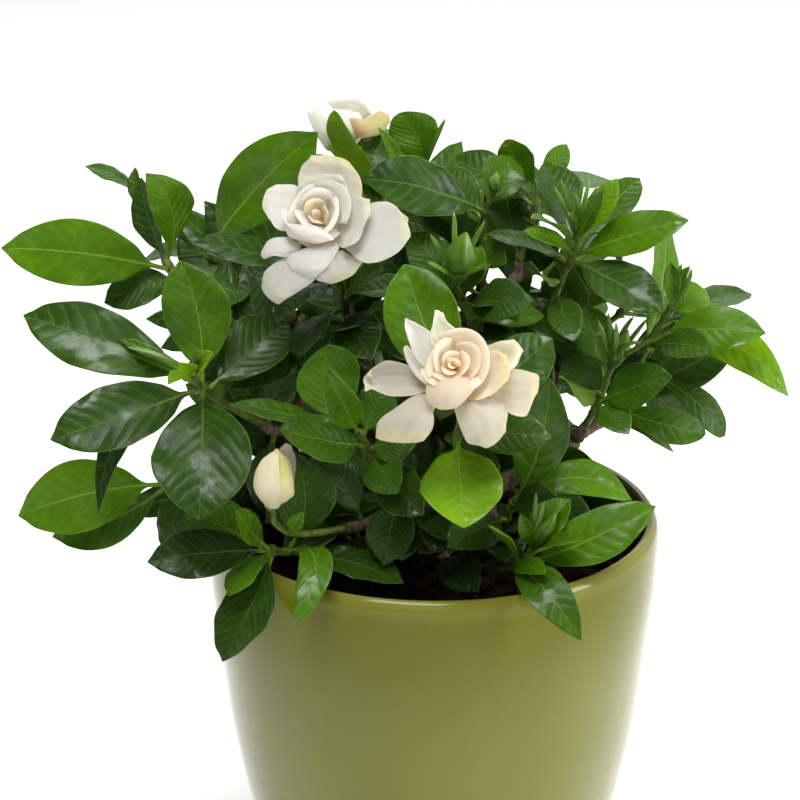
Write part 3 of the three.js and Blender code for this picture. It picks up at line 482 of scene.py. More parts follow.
def glaze_material():
    """The glaze is thinner and lighter where it breaks over the lip, the lightness there partly painted
    reflection;
    it is darker towards the top, painted shade from the leaves above, and stops above the foot.
    """
    s = Shader("glaze")
    z = s.split(s.spot)[2]
    cloud, speck = s.noise(18.0), s.noise(260.0, 2.0)
    # Lighter over the lip: partly the thin glaze, partly painted reflection.
    lip = s.span(z, 0.162, 0.1695) * s.span(cloud, 0.2, 0.8, 0.7, 1.0)
    bare = s.span(z + cloud * 0.0012, 0.0026, 0.0018)
    colour = s.layers(
        s.mix(s.span(cloud, 0.3, 0.7), (0.13, 0.132, 0.002), (0.146, 0.147, 0.004)),
        (s.span(speck, 0.66, 0.8, 0.0, 0.2), (0.11, 0.106, 0.006)),
        # Darker towards the top: painted shade from the leaves above.
        (s.span(z, 0.09, 0.16, 0.0, 0.2), (0.04, 0.041, 0.001)),
        (lip * 0.85, (0.17, 0.166, 0.03)),
        (bare, s.mix(s.span(speck, 0.4, 0.65), (0.45, 0.33, 0.2), (0.56, 0.44, 0.3))),
    )
    ripple = s.bump(s.noise(26.0, 2.0), 0.25, 0.35)
    ripple = s.bump(s.noise(420.0, 2.0), 0.006, 0.5, Normal=ripple)
    return s.set(
        Base_Color=colour, Roughness=s.span(cloud, 0.3, 0.7, 0.1, 0.15) + bare * 0.6, Normal=ripple,
        Specular_IOR_Level=0.12, Coat_Weight=s.span(z, 0.11, 0.166, 0.62, 0.16), Coat_Roughness=0.08,
        Coat_Normal=ripple,
    )


LEAF = leaf_material()
STEM = stem_material("green_stem", (0.035, 0.05, 0.01), (0.1, 0.15, 0.015), 300.0, 0.25, 0.5, 0.38)
BARK = stem_material("bark", (0.05, 0.034, 0.022), (0.19, 0.14, 0.095), 420.0, 0.9, 0.9, 0.65)
PLANT = [LEAF, STEM, sepal_material(), petal_material()]
LEAF_INDEX, STEM_INDEX, SEPAL_INDEX, PETAL_INDEX = range(4)


# Blades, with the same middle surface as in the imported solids. STALK is the share of a leaf's length
# that its stalk takes. A blade is tried straight and then with its tip moved outwards in a spiral,
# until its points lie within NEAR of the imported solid's.

STALK = 0.1
BEND_TRIES = 161
BEND_STEP = math.radians(2.2)
BEND_TURN = math.radians(137.5)
NEAR = 0.03


def leaf_outline(s):
    return np.sin(math.pi * np.clip(s, 0, 1) ** 1.15) ** 0.8


def leaf_half(t, wide):
    return np.where(t <= STALK, 1.0, np.maximum(1.0, wide / 2 * leaf_outline((t - STALK) / (1 - STALK))))


def lobe_half(t, wide):
    return wide / 2 * (1 - 0.3 * t)


def blade_axes(blade):
    chord = blade["tip"] - blade["root"]
    side = unit(np.cross(chord, blade["face"]))
    return chord, side, unit(np.cross(side, chord))


def blade_points(half_width, blade, t, v, crease=0.0):
    """The middle surface: t along from root to tip, v across from -1 to 1."""
    chord, side, lift = blade_axes(blade)
    t, v = np.broadcast_arrays(np.asarray(t, float), np.asarray(v, float))
    half = half_width(t, blade["wide"])
    bulge = 4 * t * (1 - t) * np.linalg.norm(chord)
    ripple = blade.get("wave", 0.1) * np.sin(2 * math.pi * (1.2 * t + blade.get("phase", 0)) + v) * v * v
    folded = blade.get("fold", 0.2) * (np.sqrt(v * v + crease) - math.sqrt(crease))
    up = blade.get("arch", 0.07) * bulge + half * (folded + blade.get("cup", 0) * v * v + ripple)
    along = blade.get("sway", 0) * bulge + half * v
    return blade["root"] + t[..., None] * chord + along[..., None] * side + up[..., None] * lift


def bent(blade, tries):
    chord, side, lift = blade_axes(blade)
    length = np.linalg.norm(chord)
    angle, turn = BEND_STEP * math.sqrt(tries), BEND_TURN * tries
    tip = blade["root"] + chord * math.cos(angle) + side * length * math.sin(angle) * math.cos(turn)
    return {**blade, "tip": tip + lift * length * math.sin(angle) * math.sin(turn)}


def solid_points(node):
    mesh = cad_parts[node].data
    tree = KDTree(len(mesh.vertices))
    for i, vertex in enumerate(mesh.vertices):
        tree.insert(vertex.co / MM, i)
    tree.balance()
    return tree


def as_packed(tree, half_width, blade, *stations):
    """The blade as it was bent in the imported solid, or None where it was left out there."""
    for tries in range(BEND_TRIES):
        tried = bent(blade, tries)
        if tree.find(Vector(tried["tip"]))[2] < NEAR:
            return tried
        edges = np.concatenate([blade_points(half_width, tried, stations, v) for v in (-1, 1)])
        if sum(tree.find(Vector(p))[2] < NEAR for p in edges) > 1:
            return tried
    return None


# Rows and columns of points on a leaf: wide, narrow, at the back, in the shade, and young
WIDE_GRID, NARROW_GRID, BACK_GRID, SHADED_GRID, YOUNG_GRID = (46, 17), (30, 11), (36, 13), (22, 7), (20, 7)


def leaf_part(blade, tone, seed):
    rows, columns = blade.get("grid", WIDE_GRID if blade["wide"] > 14 else NARROW_GRID)
    t = np.linspace(0, 1, rows)[:, None] ** 0.96
    v = np.sin(np.linspace(-1, 1, columns) * 1.35)[None, :] / math.sin(1.35)

    def half_width(t, wide):
        s = np.clip((t - STALK) / (1 - STALK), 0, 1)
        blunt = blade.get("blunt", 0)
        tapered = 1 - 0.35 * (1 - min(1, 2 * blunt)) * ease(0.9, 0.985, s)
        blade_half = wide / 2 * leaf_outline(s ** (1 + 0.8 * blunt)) ** (0.9 - 0.3 * blunt) * tapered
        stalk = 0.95 * (1 - ease(0.5, 1, s))
        return np.maximum(0.02, np.sqrt(blade_half**2 * ease(0.0, 0.16, s) + stalk**2))

    points = blade_points(half_width, blade, t, v, crease=0.012)
    chord, _, lift = blade_axes(blade)
    half = half_width(t, blade["wide"])
    y = 10 * v * half / np.linalg.norm(chord)
    phase = 10 * t - (0.75 * np.abs(y) + 0.16 * y * y) + 0.32 * (y > 0) + seed
    puff = (1 - np.abs(2 * (phase % 1) - 1)) ** 0.7 * (1 - np.abs(v) ** 5)
    puff = 0.08 * (puff * ease(0.12, 0.25, t) * ease(1, 0.9, t) - 0.5) * min(1, blade["wide"] / 20)
    frill = 0.035 * half * np.sin(2 * math.pi * (4.3 * t + 0.7 * v + 3 * seed)) * np.abs(v) ** 3
    droop = -0.175 * half * ease(0.9, 1.0, t)
    swell = 0.05 * half * np.sin(2 * math.pi * (1.7 * t + seed)) * np.cos(2.6 * v + 5 * seed)
    points = points + (puff + swell + frill + droop)[..., None] * lift
    thin = ease(0.0, 0.12, (t - STALK) / (1 - STALK))
    thick = 0.85 * (1 - thin) + 0.3 * thin
    thick = np.minimum(thick + 0.35 * np.exp(-((v * half / 0.7) ** 2)) * (1 - t), half * 0.9 + 0.05)
    thick = thick * np.sqrt(np.maximum(0.05, 1 - v**4))
    place, traits = stacked(10 * t, y, v), stacked(tone, seed, t, 0 * y)
    return sheet_part(points, thick[..., None] * lift, place, traits, LEAF_INDEX)


def thin_lobe_half(t, wide):
    return 0.44 * wide * (1 - t**4) ** 0.6 * (0.6 + 0.5 * t) + 0.02


def lobe_part(blade, seed):
    t = np.linspace(0, 1, 14)[:, None]
    v = np.linspace(-1, 1, 5)[None, :]
    points = blade_points(thin_lobe_half, blade, t, v)
    thick = (0.55 * (1 - t) ** 0.5 * np.sqrt(1.02 - v * v))[..., None] * blade_axes(blade)[2]
    return sheet_part(points, thick, stacked(10 * t, v, v), stacked(0.6, seed, t, 0 * v), SEPAL_INDEX)


def bud_part(root, tip, radius, seed, material=SEPAL_INDEX, ribs=6, twist=0.9):
    """A plump ribbed bud with its tip drawn out."""
    rows, columns = 30, 36
    across, beside = axes_round(unit(tip - root))
    s = np.linspace(0, 1, rows)
    size = np.interp(s, [0, 0.08, 0.25, 0.55, 0.8, 0.93, 1], [0.42, 0.62, 0.9, 1, 0.62, 0.3, 0.02])
    size = np.convolve(np.pad(size, 2, mode="edge"), [0.1, 0.2, 0.4, 0.2, 0.1], "valid")[:, None]
    s, turn = s[:, None], full_turn(columns)
    ridge = 1 + 0.09 * np.sin(ribs * (turn + twist * s)) * np.sin(math.pi * s) ** 0.4
    r = radius * size * ridge * 0.97
    spokes = across * np.cos(turn)[:, None] + beside * np.sin(turn)[:, None]
    points = root + (tip - root) * s[..., None] + r[..., None] * spokes
    quads = grid_quads(rows, columns, closed=True)
    return part(points, quads, stacked(20 * s, turn, 0 * r), stacked(0.6, seed, s, 0 * r), material)


# Shoots. A stem's places and each tip are (column, row, depth) in the view; "at" counts along the
# stem's places from 0, wide is in millimetres, and tone runs from 0, dark and bluish, to 1, young;
# low tones also paint the shade on leaves that lie in shade.

UP = point(0, -0.3, 1)
HALF_UP = point(0, -0.9, 0.8)
FRONT = point(0, -1, 0.35)
OVER_RIM = point(-0.2, -0.7, 1)
FRONT_LEFT = point(-0.7, -0.8, 0.3)
FRONT_RIGHT = point(0.7, -0.8, 0.3)
LEFT_UP = point(-0.8, -0.2, 0.6)
RIGHT_UP = point(0.8, -0.2, 0.6)

SHOOTS = []


def blade(at, tip, wide, face, tone=0.5, **shape):
    return {"at": at, "tip": tip, "wide": wide, "face": face, "tone": tone, **shape}


def leaf(at, column, row, depth, *look, **shape):
    return blade(at, seen((column, row, depth)), *look, **shape)


def lobes_at(at, wide, *tips):
    return [leaf(at, *tip, wide, HALF_UP) for tip in tips]


def add_shoot(name, main, at, stem, *leaves, buds=(), lobes=(), young=False):
    """A shoot on a branch that leaves the main stem at the given place along it.

    With young it ends in young leaves, and its stem is given in millimetres.
    """
    stem = stem if young else [seen(p) for p in stem]
    shoot = {"name": "shoot_" + name, "from": (main, at), "stem": stem, "leaves": leaves}
    SHOOTS.append({**shoot, "buds": buds, "lobes": lobes, "young": young})


add_shoot(
    "left_mid", "left", 2.3, [(262, 424, -18), (226, 404, -34), (202, 388, -42), (194, 374, -50)],
    leaf(2, 199, 520, -92, 39, FRONT, 0.12, blunt=0.12, arch=0.1, sway=-0.04, bend=0.02),
    leaf(2, 180, 260, -24, 27, FRONT, 0.42, arch=0.04, sway=0.1, bend=-0.03),
    leaf(2, 50, 440, -66, 28, HALF_UP, 0.15, arch=0.08, sway=-0.04),
    leaf(2.2, 23, 315, -28, 27, HALF_UP, 0.22, arch=0.08, sway=-0.01),
    leaf(1.8, 289, 321, -14, 25, HALF_UP, 0.15, arch=0.06),
    leaf(2.6, 118, 338, -40, 5, HALF_UP, 0.45, fold=0.5),
    leaf(1.8, 98, 514, -34, 14, FRONT_LEFT, 0.02, arch=0, sway=0.25),
    leaf(3, 213, 352, -58, 8, FRONT_LEFT, 0.95, fold=0.7),
    leaf(3, 182, 361, -66, 8, FRONT, 0.95, fold=0.6),
    leaf(3, 168, 384, -62, 7, UP, 0.9, fold=0.5),
)
add_shoot(
    "left_top", "left", 3, [(240, 322, 10), (206, 292, 12), (171, 270, 12), (152, 222, 26), (143, 196, 36)],
    leaf(2, 1, 248, -14, 27, FRONT, 0.6, arch=0.05, sway=0.01, bend=0.02),
    leaf(2.2, 146, 173, 10, 21, FRONT_RIGHT, 0.55, arch=0.06, sway=0.2, bend=-0.04),
    leaf(1.7, 104, 303, 2, 18, HALF_UP, 0.15, arch=0.08),
    leaf(4, 85, 166, 44, 9, UP, 0.3, arch=0.08),
    leaf(3, 135, 167, 40, 8, FRONT_LEFT, 0.3, fold=0.6),
    leaf(2.1, 141, 177, 28, 14, FRONT_LEFT, 0.1, fold=0.4),
)
add_shoot(
    "left_low", "left", 1.5, [(262, 478, -8), (210, 478, -8), (166, 484, -6)],
    leaf(2, 18, 516, -18, 30, FRONT, 0.62, arch=0.05, sway=0.05),
    leaf(1.9, 52, 537, -4, 20, FRONT, 0.3, arch=0.04, sway=-0.11, bend=0.04),
    leaf(1.5, 172, 556, -22, 19, FRONT_LEFT, 0.15, arch=0.08),
)
add_shoot(
    "rim_left", "front", 0.6, [(350, 545, -30), (305, 552, -48), (270, 551, -60)],
    leaf(2, 147, 562, -74, 21, HALF_UP, 0, arch=0.08),
    leaf(1.9, 222, 662, -84, 26, FRONT_LEFT, 0.12, arch=0.07, sway=-0.1),
    leaf(1.7, 300, 622, -100, 15, OVER_RIM, 0.5, blunt=0.6, arch=0.2, sway=-0.28),
    leaf(2, 186, 512, -38, 22, HALF_UP, 0.5, arch=0.08),
    leaf(2, 236, 510, -80, 11, FRONT_RIGHT, 0.5, fold=0.5, arch=-0.08),
    leaf(1.9, 228, 596, -80, 15, FRONT_LEFT, 0.6),
    leaf(1.2, 404, 583, -64, 19, UP, 0.2, arch=0.05),
    leaf(1.5, 309, 452, -44, 25, FRONT, 0.2, arch=0.05, sway=0.16),
)
add_shoot(
    "centre_left", "front", 1.7, [(404, 500, -34), (378, 465, -44), (358, 432, -54)],
    leaf(2, 325, 346, -52, 26, FRONT, 0.5, blunt=0.5, arch=-0.05, cup=0.15, sway=-0.1),
    leaf(2, 322, 362, -78, 13, FRONT, 0.5, fold=0.9, arch=0.1),
    leaf(1.6, 279, 429, -80, 21, HALF_UP, 0.3, arch=0.05, sway=-0.06),
    leaf(1.7, 228, 404, -48, 12, UP, 0.3, arch=0.05),
    leaf(1.2, 398, 493, -76, 17, FRONT, 0.3, arch=0.08),
    leaf(1.5, 424, 448, -58, 18, HALF_UP, 0.2),
    leaf(1.8, 388, 380, -44, 16, HALF_UP, 0.3),
    leaf(0.9, 423, 515, -74, 19, FRONT, 0.15, arch=0.1),
    leaf(0.2, 384, 566, -62, 19, HALF_UP, 0.1, arch=0.1),
)
add_shoot(
    "front", "front", 2, [(452, 500, -40), (456, 450, -56), (461, 412, -68), (462, 398, -72)],
    leaf(1.3, 464, 528, -106, 32, FRONT, 0.86, blunt=0.12, arch=0.04),
    leaf(2.1, 404, 264, -44, 29, FRONT, 0.5, blunt=0.2, arch=0.04, sway=-0.02),
    leaf(1.4, 552, 438, -78, 18, HALF_UP, 0.25, arch=0.08),
    leaf(2, 553, 338, -44, 23, FRONT, 0.2, arch=0.05),
    leaf(0.5, 500, 470, -78, 18, HALF_UP, 0.15, arch=0.1),
    lobes=lobes_at(2.4, 2.6, (436, 408, -76), (478, 416, -78)),
)
add_shoot(
    "centre_right", "right", 1, [(500, 535, -30), (507, 518, -38), (513, 502, -44)],
    leaf(2, 550, 378, -58, 21, FRONT, 0.3, arch=0.05, sway=0.06),
    leaf(2, 632, 500, -36, 16, HALF_UP, 0.6, arch=0.12, sway=-0.16),
    leaf(1.6, 600, 464, -30, 13, UP, 0.3, arch=0.06),
    leaf(1.5, 560, 500, -56, 20, FRONT, 0.15, arch=0.05),
    leaf(1, 447, 548, -66, 18, HALF_UP, 0.2, arch=0.08),
)
add_shoot(
    "rim_right", "front", 1, [(455, 562, -32), (488, 570, -50), (518, 566, -64), (532, 548, -66)],
    leaf(2, 656, 506, -66, 24, HALF_UP, 0.52, arch=0.06, bend=0.05, grow=0.88),
    leaf(1.8, 582, 641, -104, 17, OVER_RIM, 0.3, arch=0.24),
    leaf(2, 488, 526, -84, 9, FRONT_LEFT, 0.65, arch=-0.1),
    leaf(1.8, 545, 577, -92, 10, HALF_UP, 0.5),
    leaf(2.2, 582, 540, -80, 10, UP, 0.5, fold=0.5),
    leaf(2.6, 574, 502, -60, 15, FRONT_LEFT, 0.5, fold=0.5),
    leaf(1.5, 564, 586, -84, 12, UP, 0.35),
    leaf(0.1, 478, 592, -70, 18, FRONT, 0.15, arch=0.16),
    leaf(3, 520, 513, -70, 6, FRONT, 0.5, fold=0.6),
    buds=[((556, 512, -70), 3.6)],
    lobes=lobes_at(3, 2.6, (536, 492, -68), (545, 500, -78)),
)
add_shoot(
    "right_mid", "right", 3, [(586, 424, -14), (597, 404, -16), (612, 366, -18)],
    leaf(1, 672, 376, -36, 19, HALF_UP, 0.25, arch=0.06),
    leaf(0.9, 629, 434, -40, 14, HALF_UP, 0.3, arch=0.1),
    leaf(1.1, 706, 434, -22, 15, HALF_UP, 0.35, blunt=0.6, arch=0.1, sway=0.08),
    leaf(0.8, 574, 352, -12, 20, FRONT, 0.2, arch=0.05),
    leaf(0.6, 674, 452, -14, 8, UP, 0.4),
    leaf(1.6, 584, 304, 4, 17, FRONT, 0.4, arch=0.1),
    leaf(1.3, 565, 380, -40, 17, FRONT_LEFT, 0.25),
    buds=[((628, 330, -22), 4)],
    lobes=lobes_at(2, 2.6, (598, 320, -18), (608, 312, -14), (648, 318, -18), (658, 336, -28)),
)
add_shoot(
    "right_far", "right", 2.6, [(622, 400, 4), (638, 368, 0), (652, 338, -6), (672, 306, -6)],
    leaf(2, 766, 333, -24, 20, HALF_UP, 0.62, arch=0.06, bend=-0.03),
    leaf(2.3, 752, 294, 18, 17, UP, 0.25, arch=0.08),
    leaf(1.6, 789, 397, -18, 18, HALF_UP, 0.85, arch=0.14, sway=-0.12, bend=-0.05),
    leaf(2.7, 706, 290, 4, 17, HALF_UP, 0.75, arch=0.1),
    leaf(1.7, 714, 352, -34, 15, HALF_UP, 0.3, arch=0.1),
    leaf(1, 725, 436, -4, 13, HALF_UP, 0.3, blunt=0.7, arch=0.1, sway=-0.05),
    leaf(0.8, 690, 428, 14, 18, FRONT, 0.25),
    leaf(1.2, 664, 216, 44, 17, FRONT_RIGHT, 0.6),
    leaf(3, 671, 262, -6, 7, FRONT, 0.5, fold=0.7),
    leaf(3, 690, 266, -4, 5, FRONT_LEFT, 0.5, fold=0.7),
)
add_shoot(
    "upper_right", "top", 1.7, [(545, 318, 8), (560, 282, 4), (572, 258, 0), (576, 240, -4)],
    leaf(2, 689, 220, -18, 18, HALF_UP, 0.6, arch=0.06),
    leaf(1.9, 664, 312, -34, 21, HALF_UP, 0.2, arch=0.06),
    leaf(1.8, 486, 234, -4, 13, UP, 0.2, arch=0.06),
    leaf(2.2, 545, 162, 14, 23, FRONT_RIGHT, 0.2, blunt=0.3, arch=0.05),
    leaf(1.9, 650, 240, 34, 19, UP, 0.25, arch=0.06),
    leaf(2.2, 523, 231, -26, 8, HALF_UP, 0.6, fold=0.4),
    leaf(3, 618, 178, -4, 11, FRONT, 0.85, fold=0.6),
    leaf(3, 604, 188, -18, 6, FRONT, 0.45, fold=0.6),
    leaf(2.6, 530, 218, -30, 9, UP, 0.5, fold=0.4),
    leaf(1, 530, 262, -14, 15, FRONT_LEFT, 0.3),
    leaf(0.7, 574, 342, -24, 14, FRONT, 0.3, arch=0.08),
    leaf(2.4, 640, 178, 30, 16, HALF_UP, 0.3, arch=0.08),
    lobes=lobes_at(3, 2.6, (554, 186, -8), (561, 180, -2), (590, 178, 4)),
)
add_shoot(
    "top_right", "top", 2.4, [(520, 262, 26), (530, 225, 30), (540, 188, 32)],
    leaf(2, 505, 140, 34, 17, FRONT_LEFT, 0.55, blunt=0.4, arch=0.06),
    leaf(2, 567, 144, 40, 10, FRONT, 0.6),
    leaf(1.6, 610, 180, 62, 14, UP, 0.3, arch=0.08),
    leaf(1.5, 452, 158, 58, 20, HALF_UP, 0.3, arch=0.06),
    leaf(1.3, 575, 205, 60, 19, RIGHT_UP, 0.3, arch=0.08),
)
add_shoot(
    "top", "top", 3, [(478, 262, 12), (484, 238, 12), (485, 212, 12), (494, 192, 10)],
    leaf(2, 362, 178, -16, 26, HALF_UP, 0.15, arch=0.08),
    leaf(2, 512, 156, 30, 18, FRONT, 0.4, arch=0.06),
    leaf(1, 506, 264, -8, 13, FRONT_LEFT, 0.3, arch=0.08),
    leaf(1.6, 436, 172, 44, 19, HALF_UP, 0.3, arch=0.06),
    buds=[((497, 172, 10), 3)],
)
add_shoot(
    "centre_bud", "top", 1, [(476, 330, -8), (464, 306, -18), (455, 282, -24)],
    leaf(1.2, 482, 246, -14, 15, FRONT_LEFT, 0.6, arch=0.05),
    leaf(1, 352, 292, -30, 19, UP, 0.2, arch=0.06),
    leaf(1, 530, 304, -38, 19, HALF_UP, 0.2, arch=0.08),
    leaf(1.3, 410, 232, -6, 18, HALF_UP, 0.3, arch=0.06),
    leaf(0.6, 536, 302, -2, 12, FRONT_LEFT, 0.35, fold=0.5),
    leaf(0.6, 545, 316, -14, 9, FRONT_RIGHT, 0.35, fold=0.5),
    buds=[((466, 232, -28), 6)],
    lobes=lobes_at(2, 3, (430, 234, -26), (454, 211, -18), (485, 221, -26), (427, 262, -38),
                   (490, 264, -38)),
)
add_shoot(
    "upper_bloom", "left", 2.7, [(350, 330, -2), (342, 292, -14), (334, 268, -22), (333, 260, -24)],
    leaf(1.2, 190, 243, -14, 20, UP, 0.15, arch=0.06),
    leaf(0.8, 418, 262, -36, 16, HALF_UP, 0.3, arch=0.06),
    leaf(0.6, 300, 356, -44, 24, FRONT_LEFT, 0.1, arch=0.08),
    leaf(0.4, 372, 360, -46, 20, FRONT, 0.1, arch=0.08),
    leaf(1.5, 276, 322, -48, 16, FRONT_LEFT, 0.15, arch=0.08),
    leaf(0.1, 231, 389, -30, 18, HALF_UP, 0.05, arch=0.08),
    lobes=lobes_at(2.4, 3, (318, 272, -26), (354, 262, -26)),
)
add_shoot(
    "left_back", "back_left", 1.4, [(296, 320, 32), (250, 286, 30), (208, 252, 28)],
    leaf(2, 318, 132, 14, 29, FRONT, 0.55, arch=0.04, sway=-0.08, bend=0.04),
    leaf(1.6, 240, 218, 60, 22, LEFT_UP, 0.4, arch=0.06),
    leaf(1.2, 216, 318, 6, 18, HALF_UP, 0.2, arch=0.08),
    leaf(1.8, 140, 262, 60, 20, UP, 0.3, arch=0.08),
)
add_shoot(
    "top_back", "top", 2.7, [(400, 240, 36), (402, 208, 38), (424, 170, 42)],
    # Its tone above 1 is partly painted light, lifting the shade on this young leaf turned from the lamps.
    leaf(1, 334, 110, 16, 12, FRONT_LEFT, 1.1, blunt=0.6, fold=0.5, arch=0.05,
         sway=-0.05, bend=0.04, grow=1.35),
    leaf(1.2, 378, 127, 26, 7, FRONT_RIGHT, 0.6, fold=0.4),
    leaf(2, 399, 113, 34, 20, FRONT, 0.5, blunt=0.5, arch=0.05, sway=0.1),
    leaf(1.1, 364, 134, 58, 20, HALF_UP, 0.2, arch=0.06),
    leaf(0.8, 330, 190, 58, 20, LEFT_UP, 0.3, arch=0.06),
    lobes=lobes_at(2, 3, (446, 118, 34)),
)
add_shoot(
    "rear_bloom", "top", 3, [(372, 210, 36), (350, 180, 46), (344, 158, 54)],
    leaf(0.6, 300, 172, 78, 20, LEFT_UP, 0.3),
    leaf(0.8, 392, 150, 96, 21, UP, 0.3),
    lobes=lobes_at(1.6, 3, (326, 144, 50), (362, 146, 46)),
)
add_shoot(
    "bud", "front", 1.3, [(345, 528, -46), (300, 534, -60), (276, 524, -69), (273, 511, -70)],
    leaf(1.4, 304, 512, -76, 6, FRONT, 0.6, fold=0.6),
    lobes=[
        leaf(2.8, 245, 472, -70, 2.6, FRONT, sway=-0.12), leaf(2.8, 301, 476, -70, 2.6, FRONT, sway=0.12),
    ],
)


# More calyx lobes and unopened leaves at the ends of shoots
CROWNS = {
    "shoot_upper_right": [(574, 192, -12), (584, 178, -4), (597, 186, -12), (567, 212, -14)],
    "shoot_right_mid": [(616, 322, -28), (640, 342, -34), (634, 316, -14)],
    "shoot_right_far": [(682, 263, -2), (692, 268, -6)],
    "shoot_top": [(490, 177, 6), (505, 172, 8)],
    "shoot_rim_right": [(562, 500, -64), (550, 520, -80)],
    "shoot_left_mid": [(205, 352, -60), (190, 366, -64), (126, 347, -46)],
}
# The places that each main stem goes through, in millimetres
MAINS = {
    "left": [(-5, -2, 172), (-22, -8, 190), (-46, -8, 205), (-64, -2, 222)],
    "front": [(1, -5, 170), (-6, -20, 180), (-9, -30, 189)],
    "right": [(5, -2, 172), (22, -8, 184), (44, -13, 199), (57, -8, 211)],
    "top": [(0, 2, 178), (2, 8, 208), (6, 10, 240), (4, 12, 262)],
    "back_right": [(4, 5, 172), (18, 24, 190), (34, 46, 214)],
    "back_left": [(-4, 5, 172), (-16, 26, 192), (-30, 48, 216)],
}
# Shoots at the sides and back: height above the pot, reach from its middle, rise, and turns in degrees
ROWS = [
    ("low", 24, 72, 0.35, [58, 84, 112, 142, 172]),
    ("mid", 78, 84, 0.7, [20, 54, 88, 122]),
    ("high", 98, 64, 0.9, [66, 112]),
]


def draws_from(state):
    while True:
        state = (state * 1664525 + 1013904223) % 2**32
        yield state / 2**32


def main_for(turn, row):
    if row == "high":
        return "top", 1.4 + turn / 180
    if turn < 30:
        return "right", 1.3 + turn / 30
    if turn > 150:
        return "left", (turn - 110) / 50
    return ("back_right", turn / 50) if turn < 100 else ("back_left", 3 - turn / 75)


def add_ruled_shoot(row, height, reach, rise, turn):
    draw = draws_from(1000 * height + turn)
    angle = math.radians(turn)
    outward = unit(point(math.cos(angle), math.sin(angle), rise))
    end = point(reach * math.cos(angle), reach * math.sin(angle), POT_HEIGHT + height)
    side = point(-math.sin(angle), math.cos(angle), 0)
    over = np.cross(outward, side)
    start = end - 26 * outward
    leaves = []

    def add_whorl(at, lean, length, first):
        for i in range(3):
            turned = first + 2 * math.pi * i / 3 + 0.5 * (next(draw) - 0.5)
            tilt = math.radians(lean + 14 * (next(draw) - 0.5))
            reached = length * (0.88 + 0.24 * next(draw))
            along = outward * math.cos(tilt) + side * math.sin(tilt) * math.cos(turned)
            along = along + over * math.sin(tilt) * math.sin(turned)
            tip = start + (end - start) * at + along * reached - point(0, 0, 0.1 * reached)
            tone = 0.2 + 0.3 * ((turn * 7 + i * 5) % 10) / 10
            arch = 0.05 + 0.06 * next(draw)
            leaves.append(blade(at, tip, 0.42 * reached, outward, tone, arch=arch, grid=BACK_GRID))

    add_whorl(1, 56, 60, next(draw))
    add_whorl(0.3, 84, 64, 1 + next(draw))
    add_shoot(f"{row}_{turn}", *main_for(turn, row), [start, end], *leaves, young=True)


def along_stem(points, at):
    index = min(int(at), len(points) - 2)
    return points[index] + (points[index + 1] - points[index]) * (at - index)


def rooted(item, points, **shape):
    middle = along_stem(points, item["at"])
    return {**item, "root": middle + 0.5 * unit(item["tip"] - middle), **shape}


def stem_part(points, knots):
    """A green stem with a swollen ring at each pair of leaves."""
    p = curve_through(points, 8 * len(points) + 8)
    share = np.linspace(0, 1, len(p))
    radii = 1.6 - 0.35 * share
    for at in knots:
        radii = radii + 0.45 * np.exp(-(((share - at / (len(points) - 1)) * len(p) / 1.3) ** 2))

    def ribs(q, turn):
        return 0.05 * np.sin(3 * turn + q[:, :1] * 0.4)

    return tube_part(p, radii, 10, 0.5, seed_of(*points[0]), STEM_INDEX, ribs)


def young_leaves(root, along, size, count, seed):
    """Small folded leaves standing round the end of a shoot."""
    across = unit(np.cross(along, point(0.3, 0.2, 1)))
    beside = np.cross(along, across)
    for i in range(count):
        pair = i // 2
        turn = 2 * math.pi * (i / 2 + 0.13 * pair + seed)
        out = across * math.cos(turn) + beside * math.sin(turn)
        length = size * (1 - 0.16 * pair)
        tip = root + along * length + out * length * (0.42 - 0.12 * pair)
        small = {"root": root + out * 0.4, "tip": tip, "face": along - 1.5 * out, "wide": 0.3 * length}
        small.update(fold=0.7, arch=-0.06, phase=seed + 0.3 * i, wave=0.05, grid=YOUNG_GRID)
        yield leaf_part(small, 0.7 - 0.05 * i, seed_of(i, seed))


def shoot_piece(shoot):
    name, points = shoot["name"], shoot["stem"]
    solid = solid_points(name)
    parts = [stem_part(points, [item["at"] for item in shoot["leaves"]])]
    for tip, radius in shoot["buds"]:
        parts.append(bud_part(points[-1], seen(tip), radius, seed_of(radius)))
    for item in shoot["lobes"]:
        lobe = as_packed(solid, lobe_half, rooted(item, points, fold=0.3), 0.55)
        if lobe:
            parts.append(lobe_part(lobe, seed_of(*item["tip"])))
    for place in CROWNS.get(name, []):
        lobe = rooted(leaf(len(points) - 1, *place, 3, HALF_UP), points, fold=0.3)
        lobe["sway"] = 0.12 * math.sin(place[0])
        parts.append(lobe_part(lobe, seed_of(*place)))
    for i, item in enumerate(shoot["leaves"]):
        stations = (0.35, 0.7) if item["wide"] < 13.5 else (0.26, 0.54, 0.82)
        found = as_packed(solid, leaf_half, rooted(item, points, phase=0.37 * i), *stations)
        if found:
            found["sway"] = found.get("sway", 0) + item.get("bend", 0)
            found["wide"] *= item.get("grow", 1)
            parts.append(leaf_part(found, item["tone"], seed_of(*item["tip"])))
    if shoot["young"]:
        parts += young_leaves(points[-1], unit(points[-1] - points[-2]), 15, 4, seed_of(*points[0]))
    make_piece(name.replace("shoot", "leaves"), parts, PLANT, "leaf", name)
